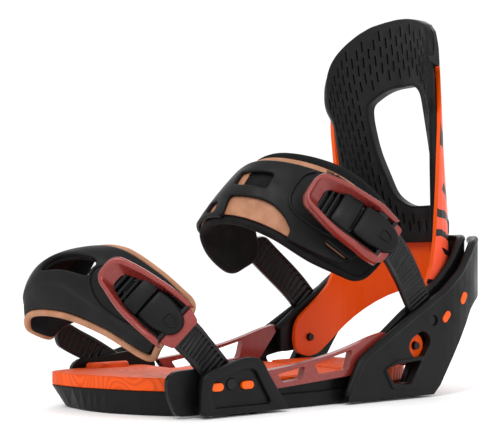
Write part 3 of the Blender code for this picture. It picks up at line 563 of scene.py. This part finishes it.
# ankle strap
ankle = {
    "front": [(-46, 14, 76), (-48, 3, 89), (-43, -5, 102), (-28, -7, 109), (-6, -3, 108), (13, 9, 100),
              (28, 27, 86), (37, 48, 75)],
    "rear": [(-48, 44, 90), (-46, 35, 116), (-30, 25, 140), (-9, 25, 149), (11, 38, 147), (27, 56, 138),
             (36, 74, 122), (39, 82, 108)],
    "crown": 3.0,
    "size": (160.0, 46.0),
    "padOutline": [(-7, -4, 17), (60, -3.5), (150, -4), (171, -4.5, 15), (172, 20, 12), (164, 45, 14),
                   (150, 46.5), (70, 46.5), (-6, 46.5, 17)],
    "rimLine": [(106, 35), (101.5, 30), (101.5, 18), (108.5, 11.8), (126, 10.4), (142, 12.5)],
    "tanOutline": [(10, 1.5, 8), (115, 0.5), (122, 4), (150, 4), (152, 39.6), (108, 40.4), (66, 40.4), (14, 38, 8)],
    "shellOutline": [(26, 3, 8), (40, -1.5), (66, -1.5), (66, 12), (88, 12), (95, 11.2), (104, 8), (112, 3.4),
                     (112, -1), (150, 1.5, 6), (157, 12, 8), (154, 38, 10), (116, 38.5), (110, 36.6), (68, 36.2),
                     (56, 33), (50, 26), (36, 28, 6), (26, 24, 6)],
    "tanHole": [(70.5, 16, 2), (92, 16, 2), (92, 31, 2), (70.5, 31, 2)],
    "slot": [(66, 19.5), (87, 18.5), (87, 28), (66, 28.5)],
    "sideHole": [(50, 1.5), (58, 1.5), (58, 9), (50, 9)],
    "slit": [(133, 6.6), (152, 4.6), (152, 5.6), (133, 7.6)],
}
ankleSheet = Sheet([ankle["front"], ankle["rear"]], crowned(ankle["crown"]))
padProfile = [(3.5, -5.2), (1.2, -5.0), (0.2, -4.0), (0, -2.8), (0.2, -1.4), (0.9, -0.3), (1.9, 0.25), (3.0, 0.2),
              (3.8, -0.35), (4.3, -0.55), (4.8, -0.3), (5.6, 0.0)]


def stitches(name, sheet, outline, inset, lift, scale, body, slot, length=2.4, gap=1.1, thick=0.28, keep=None):
    # short capsules end to end along an inset outline
    ring = insetRing(roundedOutline(outline, 3.0, 0.25), inset)
    distance = np.arange(len(ring)) * 0.25
    starts = np.arange(0, distance[-1] - length, length + gap)
    along = np.linspace(0, 1, 4)
    spots = np.stack([np.interp(starts[:, None] + along * length, distance, column) for column in ring.T], -1)
    if keep is not None:
        spots = spots[keep(spots.mean(axis=1))]
    lifts = lift + np.array((-0.25, 0.12, 0.12, -0.25))[None] * np.ones((len(spots), 1))
    centres = sheet.at(spots / np.array(scale), lifts) / mm
    above = sheet.at(spots / np.array(scale), lifts + 1) / mm - centres
    run = centres[:, -1:] - centres[:, :1]
    run /= np.linalg.norm(run, axis=2, keepdims=True)
    side = np.cross(run, above)
    side /= np.linalg.norm(side, axis=2, keepdims=True)
    turn = np.linspace(0, 2 * math.pi, 6, endpoint=False)
    sizes = thick * np.array((0.35, 1, 1, 0.35))[None, :, None, None]
    rings = centres[:, :, None] + sizes * (
        np.cos(turn)[None, None, :, None] * side[:, :, None] + np.sin(turn)[None, None, :, None] * above[:, :, None])
    faces = loopFaces(4, 6)[:, ::-1].tolist() + [[0, 1, 2, 3, 4, 5], [23, 22, 21, 20, 19, 18]]
    every = [[index + 24 * i for index in face] for i in range(len(spots)) for face in faces]
    return addPiece(name, rings * mm, every, body, slot)


def recessRim(name, sheet, line, scale, lift, body):
    # a low rounded bead on the shell, round the recess that the buckle sits in
    flat = smoothCurve([(x, y, 0) for x, y in line], 60)[:, :2] / np.array(scale)
    path = sheet.at(flat, np.full(len(flat), lift)) / mm
    above = sheet.at(flat, np.full(len(flat), lift + 1)) / mm - path
    tube(name, path, 1.1, body, "black_rubber", sides=10, out=above)


def makeAnkleStrap():
    scale = ankle["size"]
    pad = plate("anklePadCover", ankleSheet, ankle["padOutline"], padProfile, "ankle_strap", "black_padding",
                scale=scale)
    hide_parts("ankle_pad")
    stitches("anklePadStitches", ankleSheet, ankle["padOutline"], 4.3, -0.45, scale, "ankle_strap", "black_padding")
    tan = plate("ankleTanPanel", ankleSheet, ankle["tanOutline"], roundEdge(0.0, 1.3, 0.6), "ankle_strap",
                "tan_leather", [ankle["tanHole"]], scale=scale)
    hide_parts("ankle_tan_layer")
    shell = plate("ankleShell", ankleSheet, ankle["shellOutline"], roundEdge(1.4, 4.0, 1.1), "ankle_strap",
                  "black_rubber", [ankle["slot"], ankle["sideHole"], ankle["slit"]], scale=scale)
    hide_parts("ankle_exoskeleton")
    recessRim("ankleRecessRim", ankleSheet, ankle["rimLine"], scale, 4.1, "ankle_strap")


makeAnkleStrap()
print("ankle strap made")


# toe cap
toe = {
    "front": [(-46, -112, 38), (-47, -125, 45), (-36, -127, 52), (-15, -119, 51), (5, -106, 42.6), (25, -95, 31),
              (35, -91, 29)],
    "middle": [(-47, -104, 46), (-46, -123, 62), (-33, -128, 76), (-13, -122, 80), (6, -111, 74), (24, -98, 62),
               (36, -88, 50)],
    "rear": [(-46, -94, 50), (-44, -101, 70), (-30, -104, 86), (-10, -101, 91), (8, -93, 90), (24, -81, 78),
             (36, -71.5, 65)],
    "size": (126.0, 54.0),
    "linerOutline": [(-2, 0, 7), (60, 0), (124, 0, 4), (130, 14, 8), (137, 40, 10), (134, 54.5, 12), (110, 54.5),
                     (50, 54.5), (-2, 54.5, 9)],
    "shellOutline": [(4, 3, 6), (60, 3), (121, 3, 4), (128, 18, 8), (132, 40, 10), (128, 51.8, 8), (60, 51.8),
                     (5, 51.8, 8)],
    "slot": [(49, 24.5, 5), (81, 25.5, 6), (81, 38.5, 6), (49, 38.5, 5)],
    "rimLine": [(87, 38), (81.6, 32), (81.6, 22), (88.5, 14), (102, 12.5), (114, 14.5)],
    "crease": ([20, 44, 63, 82, 100, 126], [16.5, 16.5, 16, 11.5, 10.5, 10]), "creaseRise": 0.9,
    "piping": 2.0,
}
toeSheet = Sheet([toe["front"], toe["middle"], toe["rear"]], bowed, (-0.3, 1.3))


def makeToeStrap():
    scale = toe["size"]
    liner = plate("toeLiner", toeSheet, toe["linerOutline"], roundEdge(-4.6, -2.6, 0.9), "toe_strap", "black_padding",
                  [toe["slot"]], scale=scale)
    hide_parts("toe_strap_liner")
    ring = roundedOutline(toe["linerOutline"], 3.0, 1.5)
    centres = toeSheet.at(insetRing(ring, 1.0) / np.array(scale), np.full(len(ring), -1.4)) / mm
    above = toeSheet.at(insetRing(ring, 1.0) / np.array(scale), np.full(len(ring), 0.0)) / mm - centres
    run = np.roll(centres, -1, axis=0) - np.roll(centres, 1, axis=0)
    run /= np.linalg.norm(run, axis=1, keepdims=True)
    above /= np.linalg.norm(above, axis=1, keepdims=True)
    side = np.cross(run, above)
    turn = np.linspace(0, 2 * math.pi, 14, endpoint=False)
    rings = centres[:, None] + toe["piping"] * (
        np.cos(turn)[None, :, None] * side[:, None] + np.sin(turn)[None, :, None] * above[:, None])
    i = np.arange(len(ring))[:, None] * 14
    j = np.arange(14)[None]
    following = np.roll(np.arange(len(ring)), -1)[:, None] * 14
    k = (j + 1) % 14
    faces = np.stack([i + j, i + k, following + k, following + j], axis=-1).reshape(-1, 4)[:, ::-1]
    addPiece("toePiping", rings * mm, faces, "toe_strap", "tan_leather")

    def creased(flat, lift):
        # behind the crease line the cap stands a little prouder, over a smooth step 3 mm wide
        t = np.clip((flat[:, 1] - np.interp(flat[:, 0], *toe["crease"])) / 3 + 0.5, 0, 1)
        return lift + toe["creaseRise"] * (t * t * (3 - 2 * t) - 1) * (lift > -2)

    shell = plate("toeCap", toeSheet, toe["shellOutline"], roundEdge(-2.6, 0.7, 1.0), "toe_strap", "black_rubber",
                  [toe["slot"]], scale=scale, cell=1.5, shape=creased)
    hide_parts("toe_cap_shell")
    recessRim("toeRecessRim", toeSheet, toe["rimLine"], scale, 0.6, "toe_strap")


makeToeStrap()
print("toe strap made")


# buckles: across is the lever's joint axis, along is made square to it, and out is their cross product
def squared(buckle):
    joint = next(j for j in frame["joints"] if j["name"] == buckle["joint"])
    across = np.array(joint["axis"], float)
    across /= np.linalg.norm(across)
    along = np.array(buckle["along"])
    along = along - across * (along @ across)
    along /= np.linalg.norm(along)
    return {**buckle, "along": along, "across": across, "out": np.cross(along, across)}


ankleBuckle = squared({
    "origin": (55.2, 61, 95.2), "along": (0.378, 0.716, -0.587), "joint": "ankle_lever_open", "shift": -3.6,
    "outer": [(0, -17, 2), (-8, -19, 5), (-33, -18.5, 8), (-58.5, -13.5, 7), (-58.5, 9, 8), (-40, 14, 8),
              (-14, 16.5, 6), (-1, 15)],
    "inner": [(-3, -12), (-14, -13.8, 4), (-33, -14.8, 8), (-56, -10.3, 4), (-56, 5.5, 5), (-40, 11, 8),
              (-16, 12.8, 4), (-3, 12)],
    "opening": [(-3, -12), (-14, -12.6, 4), (-33, -12.8, 6), (-48.5, -9, 3), (-48.5, 3.6, 3), (-38, 8, 8),
                (-16, 11.4, 4), (-3, 12)],
    "ribs": (-47.4, -43.8, -40.2), "cover": (-37.6, -24.4), "tray": -50, "halfWidth": 12.2,
    "thumb": [(-22.8, -10.2, 2), (-12, -10.6, 4), (1, -8, 6), (6, -3.5, 4), (6, 3.5, 4), (1, 8, 6), (-12, 10.6, 4),
              (-22.8, 10.2, 2)],
})
toeBuckle = squared({
    "origin": (53, -88.5, 48), "along": (0.644, 0.443, -0.624), "joint": "toe_lever_open", "shift": -0.6,
    "outer": [(0, -14.5, 2), (-8, -15, 5), (-28, -14.6, 8), (-51, -8.5, 6), (-51.5, 7.6, 7), (-34, 12, 8),
              (-12, 14.6, 6), (-1, 14)],
    "inner": [(-3, -11), (-14, -11.4, 4), (-28, -11.2, 6), (-47.6, -6.6, 4), (-47.8, 4.4, 4), (-33, 8.8, 8),
              (-14, 11.4, 4), (-3, 11.3)],
    "opening": [(-3, -11), (-14, -10.6, 4), (-28, -10, 5), (-41.6, -6, 3), (-41.6, 2.6, 3), (-31, 6.6, 6),
                (-14, 10.4, 4), (-3, 11.3)],
    "ribs": (-39.8, -36.3, -32.8), "cover": (-30.6, -21), "tray": -43, "halfWidth": 11.2,
    "thumb": [(-19.6, -9, 2), (-10, -9.4, 4), (-1, -6.6, 5), (2.5, -3, 3), (2.5, 3, 3), (-1, 6.6, 5),
              (-10, 9.4, 4), (-19.6, 9, 2)],
})


def buckleSheet(buckle):
    origin = np.array(buckle["origin"]) + buckle["shift"] * np.array(buckle["across"])
    return Flat(origin, buckle["along"], buckle["across"], buckle["out"])


def matchedPath(points, perSide=7, perCorner=8):
    # an open path with rounded corners; paths with as many corners have as many points
    flat = np.array([p[:2] for p in points], float)
    radii = [p[2] if len(p) > 2 else 3 for p in points]
    out, last = [], flat[0]
    for i in range(1, len(flat) - 1):
        before, after = flat[i - 1] - flat[i], flat[i + 1] - flat[i]
        reach = min(radii[i], 0.48 * np.linalg.norm(before), 0.48 * np.linalg.norm(after))
        first = flat[i] + before / np.linalg.norm(before) * reach
        stop = flat[i] + after / np.linalg.norm(after) * reach
        out.append(last + (first - last) * np.linspace(0, 1, perSide, endpoint=False)[:, None])
        t = np.linspace(0, 1, perCorner, endpoint=False)[:, None]
        out.append(first * (1 - t) ** 2 + 2 * flat[i] * t * (1 - t) + stop * t**2)
        last = stop
    out.append(last + (flat[-1] - last) * np.linspace(0, 1, perSide)[:, None])
    return np.concatenate(out)


def makeLoop(name, buckle, body, node):
    # the lever's open loop: a rounded rim round its top, sloping inner walls and a flat underside, whose
    # arms drop towards the axle
    sheet = buckleSheet(buckle)
    outer, inner, opening = (matchedPath(buckle[key]) for key in ("outer", "inner", "opening"))

    def between(first, second, share):
        return first + (second - first) * share

    def height(flat, lift):
        # arms fall by a smooth step over their last 17 mm
        t = np.clip((flat[:, 0] + 17) / 17, 0, 1)
        return lift - 2.8 * t * t * (3 - 2 * t)

    levels = [(outer, 0.15, 3.6), (outer, 0.0, 5.0), (outer, 0.02, 8.6), (outer, 0.08, 9.6), (outer, 0.25, 10.3),
              (outer, 0.5, 10.5), (outer, 0.8, 10.3), (outer, 1.0, 9.5)]
    curves = [sheet.at(between(outer, inner, share), height(outer, lift)) for _, share, lift in levels]
    curves.append(sheet.at(between(inner, opening, 0.12), height(inner, 8.8)))
    curves.append(sheet.at(between(inner, opening, 0.85), height(inner, 5.2)))
    curves.append(sheet.at(opening, height(inner, 4.4)))
    curves.append(sheet.at(opening, height(inner, 3.6)))
    points = np.array(curves)
    rings, count = points.shape[:2]
    i = np.arange(rings)[:, None] * count
    k = np.roll(np.arange(rings), -1)[:, None] * count
    j = np.arange(count - 1)[None]
    faces = np.stack([i + j, k + j, k + j + 1, i + j + 1], axis=-1).reshape(-1, 4).tolist()
    faces.append([ring * count for ring in range(rings)][::-1])
    faces.append([ring * count + count - 1 for ring in range(rings)])
    piece = addPiece(name, points, faces, body, "red_metal")
    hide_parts(node)
    return piece


def rectangle(x0, x1, half, radius=1.0):
    return [(x0, -half, radius), (x1, -half, radius), (x1, half, radius), (x0, half, radius)]


def makeBuckle(prefix, buckle, strap, lever, release):
    sheet = buckleSheet(buckle)
    makeLoop(prefix + "LeverLoop", buckle, lever, prefix + "_buckle_lever")
    half = buckle["halfWidth"]
    tray = plate(prefix + "BuckleTray", sheet, rectangle(buckle["tray"], 1, half, 3), roundEdge(-1.6, -0.2, 0.4),
                 strap, "black_nylon")
    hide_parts(prefix + "_buckle_base")
    for side in (-1, 1):
        wall = [(buckle["tray"] + 2, side * (half - 1.2)), (buckle["tray"] + 2, side * half), (1, side * half),
                (1, side * (half - 1.2))]
        plate(f"{prefix}BuckleWall{'Front' if side < 0 else 'Rear'}", sheet,
              [(x, y, 0.4) for x, y in wall], roundEdge(-0.4, 5.2, 0.4), strap, "black_nylon")
    for index, x in enumerate(buckle["ribs"]):
        plate(f"{prefix}BuckleRib{index + 1}", sheet, rectangle(x - 1.0, x + 1.0, half - 1.0, 0.6),
              roundEdge(-0.4, 4.6, 0.7), strap, "black_nylon")
    low, high = buckle["cover"]

    def arched(flat, lift):
        # a parabola across, highest midway
        return lift - 1.0 * (flat[:, 1] / half) ** 2

    plate(prefix + "BuckleCover", sheet, rectangle(low, high, half - 0.9, 1.6), roundEdge(4.0, 6.6, 0.9), strap,
          "black_nylon", shape=arched)

    def thumbShape(flat, lift):
        # domed across, and bent down to the strap at its free end
        t = np.clip((flat[:, 0] + 8) / 14, 0, 1)
        return lift - 1.3 * (flat[:, 1] / half) ** 2 - 2.2 * t**2

    thumb = plate(prefix + "ThumbPad", sheet, buckle["thumb"], roundEdge(5.0, 9.6, 1.7, 6), release, "black_nylon",
                  cell=1.5, shape=thumbShape)
    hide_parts(prefix + "_release_lever")
    ends = sheet.at(np.array([(-3.0, y) for y in (-half - 1.6, 0, half + 1.6)]), 6.2) / mm
    axle = tube(prefix + "BuckleAxle", ends, 1.2, strap, "steel", out=buckle["out"], finish=finishes["dark_steel"])
    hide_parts(prefix + "_buckle_axle")
    mark = [(-8, -3.4, 1.4), (-1.5, -3.0, 2), (1.0, 0, 1), (-1.5, 3.0, 2), (-8, 3.4, 1.4)]
    inner = [(-7.1, -2.5, 1), (-2.1, -2.2, 1.4), (-0.4, 0, 0.6), (-2.1, 2.2, 1.4), (-7.1, 2.5, 1)]
    plate(prefix + "ThumbMark", sheet, mark, [(0, 9.3), (0.1, 10.1), (0.35, 10.2)], release, "black_nylon", [inner],
          cell=1.5, step=0.5, shape=thumbShape)


makeBuckle("ankle", ankleBuckle, "ankle_strap", "ankle_lever", "ankle_release")
makeBuckle("toe", toeBuckle, "toe_strap", "toe_lever", "toe_release")
# a cross plate closes each loop in front of its axle
for name, buckle, foot, body in (
    ("toeLeverFoot", toeBuckle, [(-2, -12.5, 2), (6.5, -9.5, 2), (6.5, 9.5, 2), (-2, 12.5, 2)], "toe_lever"),
    ("ankleLeverFoot", ankleBuckle, [(-2, -17, 2), (3.5, -12, 3), (3.5, 12, 2), (-2, 13, 2)], "ankle_lever"),
):
    plate(name, buckleSheet(buckle), foot, roundEdge(3.9, 5.6, 0.7), body, "red_metal")
print("buckles made")


# toothed straps and connectors
ankleLadder = {
    "start": [(-36, -24, -12, 0, 4), ankleBuckle],
    "run": [(53.4, 77, 76.5), (52.9, 86, 62), (52.9, 96, 46), (52.9, 99.2, 40.6)],
    "lowSide": (0, 0.85, 0.53), "width": 20, "pitch": 2.6, "tooth": 0.55,
}
toeLadder = {
    "start": [(-36, -24, -12, 0, 4), toeBuckle],
    "run": [(53.6, -78, 38), (52.9, -68, 28), (52.9, -58, 17), (52.9, -53.8, 12.2)],
    "lowSide": (0, 0.75, 0.66), "width": 18, "pitch": 3.0, "tooth": 0.95,
}
ankleLink = {
    "points": [(-51.5, 42, 94), (-52.9, 55, 84), (-52.9, 78, 65), (-52.9, 96, 46), (-52.9, 101, 40)],
    "side": (0, 0.65, 0.75), "width": 20, "pitch": 4.2, "tooth": 1.0,
}
toeLink = {
    "points": [(-50, -103, 42), (-52, -92, 36), (-52.9, -78, 29), (-52.9, -58, 17), (-52.9, -52.8, 13.2)],
    "side": (0, 0.5, 0.86), "width": 15, "pitch": 4.0, "tooth": 0.7,
}


def makeBand(name, points, sides, width, pitch, tooth, body, node, slope=0.7, plainEnd=12):
    # a flat section carried along a smooth path: the middle of its outer face goes down and up like a saw
    # with that pitch, and both ends are round
    both = np.hstack([np.array(points, float), np.array(sides, float)])
    length = np.linalg.norm(np.diff(smoothCurve(both, 200)[:, :3], axis=0), axis=1).sum()
    count = int(length / 0.3)
    path = smoothCurve(both, count)
    path, side = path[:, :3], path[:, 3:]
    run = np.gradient(path, axis=0)
    run /= np.linalg.norm(run, axis=1, keepdims=True)
    side = side - run * (side * run).sum(axis=1, keepdims=True)
    side /= np.linalg.norm(side, axis=1, keepdims=True)
    out = np.cross(run, side)
    distance = np.linspace(0, length, count)
    phase = (distance / pitch) % 1
    saw = np.where(phase < slope, phase / slope, (1 - phase) / (1 - slope))
    saw = np.clip(saw * 1.5 - 0.25, 0, 1) * ((length - distance) > plainEnd)
    half = width / 2
    near = np.minimum(np.minimum(distance, length - distance) + 0.05, half)
    narrow = np.sqrt(np.clip(1 - ((half - near) / half) ** 2, 0.0004, 1))
    section = [(-half + 0.5, -1.6, 0), (-half, -1.1, 0), (-half, 0.9, 0), (-half + 0.6, 1.5, 0),
               (-half + 2.2, 1.55, 0), (-half + 2.7, 1.55, 1), (half - 2.7, 1.55, 1), (half - 2.2, 1.55, 0),
               (half - 0.6, 1.5, 0), (half, 0.9, 0), (half, -1.1, 0), (half - 0.5, -1.6, 0)]
    rows = []
    for y, z, share in section:
        lift = z - tooth * share * saw
        rows.append(path + side * (y * narrow)[:, None] + out * lift[:, None])
    points = np.stack(rows, axis=1)
    faces = loopFaces(count, len(section))[:, ::-1].tolist()
    last = (count - 1) * len(section)
    faces += [list(range(len(section))), [last + i for i in range(len(section))][::-1]]
    piece = addPiece(name, points * mm, faces, body, "black_ladder", smooth=28)
    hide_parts(node)
    return piece


def makeLadder(name, ladder, body, node):
    spots, buckle = ladder["start"]
    sheet = buckleSheet(buckle)
    upper = sheet.at(np.array([(x, 0.0) for x in spots]), 1.9) / mm
    points = np.concatenate([upper, ladder["run"]])
    sides = [buckle["across"]] * len(spots) + [ladder["lowSide"]] * len(ladder["run"])
    return makeBand(name, points, sides, ladder["width"], ladder["pitch"], ladder["tooth"], body, node)


makeLadder("ankleToothedStrap", ankleLadder, "ankle_ladder_strap", "ankle_ladder")
makeLadder("toeToothedStrap", toeLadder, "toe_ladder_strap", "toe_ladder")
for name, link, body, node in (("ankleLinkStrap", ankleLink, "ankle_strap", "ankle_connector"),
                               ("toeLinkStrap", toeLink, "toe_strap", "toe_connector")):
    makeBand(name, link["points"], [link["side"]] * len(link["points"]), link["width"], link["pitch"],
             link["tooth"], body, node, 0.5, 22)
print("toothed straps and connectors made")


# highback
highback = {
    "heights": (15, 70, 105, 140, 175, 205, 245), "edge": (107, 108, 108.5, 107.5, 105.5, 103, 101),
    "spine": (145, 146, 145, 136, 128, 121, 115), "outer": (43, 43, 44, 46, 49, 51, 51),
    "inner": (43, 43, 44.5, 47, 52, 54.5, 55), "unit": 62.0,
    # sides and foot of the pad in arc times unit; its crown and the window in mm across
    "outerSide": [(-54, 94, 4), (54, 94, 4), (52.5, 150), (52, 175, 3), (60, 184, 3), (61, 200), (58, 211)],
    "crown": [(49, 219), (45.4, 226.5), (40, 231.5), (33, 234.7), (23, 237), (12, 238), (0, 237.6), (-13, 236.4),
              (-25, 232.8), (-36, 227.4), (-44, 221.4), (-49.2, 215)],
    "innerSide": [(-50, 208.5), (-57, 199), (-60, 190, 3), (-59, 184, 3), (-52, 175, 3), (-52.5, 150)],
    "window": [(-26, 177, 5), (-25, 187, 6), (-5, 196, 8), (24, 196, 5), (31, 190, 5), (33, 167, 9),
               (38.5, 134, 9), (39, 117, 5), (-3, 117, 6), (-15, 125, 6), (-24, 156, 9)],
    "dash": (1.0, 7.4), "columns": 4.1, "rows": 10.4,
}


class BackSheet:
    # the highback's foot side, read by (arc, height): in plan half an ellipse whose width and depth change
    # with height; arc goes from -1 at the inner edge to 1 at the outer one
    def at(self, flat, lift):
        flat = np.asarray(flat, float)
        arc, z = flat[..., 0], flat[..., 1]
        lift = np.broadcast_to(np.asarray(lift, float), arc.shape)
        angle = (1 - np.minimum(np.abs(arc), 1)) * math.pi / 2
        read = {key: np.interp(z, highback["heights"], highback[key]) for key in ("edge", "spine", "outer", "inner")}
        width = np.where(arc > 0, read["outer"], read["inner"])
        depth = read["spine"] - read["edge"]
        x = np.sign(arc) * width * np.cos(angle)
        y = read["edge"] + depth * np.sin(angle)
        nx, ny = -np.sign(arc) * np.cos(angle) / width, -np.sin(angle) / depth
        size = np.sqrt(nx**2 + ny**2)
        return np.stack([x + nx / size * lift, y + ny / size * lift, z], axis=-1) * mm


def alongArc(points):
    # mm across turned into arc times unit: arc is a quarter turn less the angle whose cosine is x / width
    out = []
    for x, z, *radius in points:
        width = np.interp(z, highback["heights"], highback["outer" if x > 0 else "inner"])
        arc = 1 - math.acos(abs(x) / width) / (math.pi / 2)
        out.append((math.copysign(arc, x) * highback["unit"], z, *radius))
    return out


backSheet = BackSheet()
padOutline = highback["outerSide"] + alongArc(highback["crown"]) + highback["innerSide"]
windowOutline = alongArc(highback["window"])


def makeHighbackPad():
    scale = (highback["unit"], 1)
    base = plate("highbackPadBase", backSheet, padOutline, roundEdge(0.5, 4.1, 0.8), "highback", "black_rubber",
                 [windowOutline], scale=scale, cell=4)
    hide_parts("highback_pad")
    width, height = highback["dash"]
    outline = insetRing(roundedOutline(padOutline, 3.0), 2.8)
    window = insetRing(roundedOutline(windowOutline, 3.0), -3.2)
    dashes = []
    for column, x in enumerate(np.arange(-57.4, 60, highback["columns"])):
        for z in np.arange(96 + (column % 2) * highback["rows"] / 2, 236, highback["rows"]):
            corners = np.array([(x, z), (x, z + height)])
            if insideRing(corners, outline).all() and not insideRing(corners, window).any():
                dashes.append([(x - width / 2, z), (x + width / 2, z), (x + width / 2, z + height),
                               (x - width / 2, z + height)])
    top = plate("highbackPadFace", backSheet, padOutline, roundEdge(4.0, 5.4, 0.9), "highback", "black_rubber",
                [windowOutline, *dashes], scale=scale, cell=4, holeProfile=roundEdge(4.0, 5.4, 0.25, 2))

    # a trim that wrap the pad's rubber round the window
    inner = insetRing(roundedOutline(windowOutline, 3.0), 1.2)
    plate("highbackWindowTrim", backSheet, windowOutline, roundEdge(-1.9, 5.5, 0.5), "highback", "black_rubber",
          [[(x, y) for x, y in inner[::3]]], scale=scale, cell=4)


makeHighbackPad()
print("highback pad made")


# heel hoop and panels: rounded upper edges
hoop = {
    "half": [(47, 62.3), (47, 78), (47, 98), (46.7, 114), (44.5, 126), (39.5, 138), (30, 148.5), (17, 155.5), (0, 157)],
    "top": [(62, 39), (79, 51), (95, 61), (110, 71), (125, 84), (138, 97), (150, 98), (158, 98)], "offset": 2.0,
    "radius": 2.5,
    "panelTop": [(26, 4), (38, 26), (44, 29.5), (80, 50), (106, 64), (122, 76), (140, 94), (150, 97)],
    "panelOffset": 10.2, "panelRadius": 2.6,
}


def hoopPath(offset, count):
    # the hoop's plan, moved out by offset along its own normal
    half = np.array(hoop["half"], float)
    whole = np.concatenate([half, half[-2::-1] * (-1, 1)])
    path = smoothCurve(whole, count)
    run = np.gradient(path, axis=0)
    run /= np.linalg.norm(run, axis=1, keepdims=True)
    return path + np.stack([run[:, 1], -run[:, 0]], axis=1) * offset


def makeHoopEdges():
    path = hoopPath(hoop["offset"], 160)
    height = np.interp(path[:, 1], *zip(*hoop["top"])) - 1.4
    tube("hoopTopEdge", np.column_stack([path, height]), hoop["radius"], "base", "black_nylon")
    path = hoopPath(hoop["panelOffset"], 200)
    path = path[: int(len(path) * 0.45)]
    path = path[path[:, 0] > 29]
    front = np.array([(path[0, 0], y) for y in np.arange(28, path[0, 1], 3)])
    path = np.concatenate([front, path])
    height = np.interp(path[:, 1], *zip(*hoop["panelTop"])) - 1.4
    for side, name in ((1, "outer"), (-1, "inner")):
        tube(name + "PanelTopEdge", np.column_stack([path[:, 0] * side, path[:, 1], height]), hoop["panelRadius"],
             "base", "black_nylon")


# rims and tab of the base
rims = {
    "toeOuter": [(-79, 1), (-79, 16, 5), (-76.5, 24, 5), (-48, 31.5, 5), (-38, 30, 5), (-33, 21), (-19, 1, 1)],
    "toeInner": [(-72, 5, 3), (-72, 15, 4), (-70.5, 19.5, 3), (-49, 25, 4), (-43, 24.4, 3), (-31.5, 5, 2)],
    "panelWindow": [(53.5, 18, 2), (64.5, 23.6, 2), (87.5, 25, 2), (78, 6, 2), (60.5, 6, 2)],
    "panelOpening": [(56, 19, 2), (66, 21, 2), (85, 22.5, 2), (76, 8.8, 2), (62, 8.8, 2)],
    "tab": [(-45.2, -88, 3), (-38, -86, 3), (-37, -62, 3), (-45.2, -58, 3)],
}


def makeRims():
    for side, name in ((1, "outer"), (-1, "inner")):
        wall = Flat((side * 59, 0, 0), (0, side, 0), (0, 0, 1), (side, 0, 0))

        def faced(points):
            return [(p[0] * side, *p[1:]) for p in points]

        plate(name + "ToeBlockRim", wall, faced(rims["toeOuter"]), roundEdge(-2.0, 1.3, 1.0), "base", "black_nylon",
              [faced(rims["toeInner"])])
        panel = Flat((side * 59.5, 0, 0), (0, side, 0), (0, 0, 1), (side, 0, 0))
        plate(name + "PanelWindowRim", panel, faced(rims["panelWindow"]), roundEdge(-1.5, 0.9, 0.8), "base",
              "black_nylon", [faced(rims["panelOpening"])])
    floor = Flat((0, 0, 0), (1, 0, 0), (0, 1, 0), (0, 0, 1))
    plate("toePadTab", floor, rims["tab"], roundEdge(17.5, 23, 1.6), "base", "orange_footbed")


makeHoopEdges()
makeRims()
print("hoop edges, rims and tab made")


def writeSizes():
    bpy.context.view_layer.update()


def makeFloor():
    turn = np.linspace(0, 2 * math.pi, 96, endpoint=False)
    radius = studio["floorRadius"]
    rim = np.stack([radius * np.cos(turn), radius * np.sin(turn), np.full(96, -0.0005)], axis=1)
    mesh = bpy.data.meshes.new("studioFloor")
    mesh.from_pydata(rim.tolist(), [], [tuple(range(96))])
    floor = bpy.data.objects.new("studioFloor", mesh)
    shading = Shading("paleFloor", studio["floor"], 0.9)
    shading.feed("Base Color", shading.mix(shading.noise(3), studio["floor"], (0.95, 0.95, 0.95)))
    mesh.materials.append(shading.material)
    bpy.context.scene.collection.objects.link(floor)


makeFloor()
writeSizes()
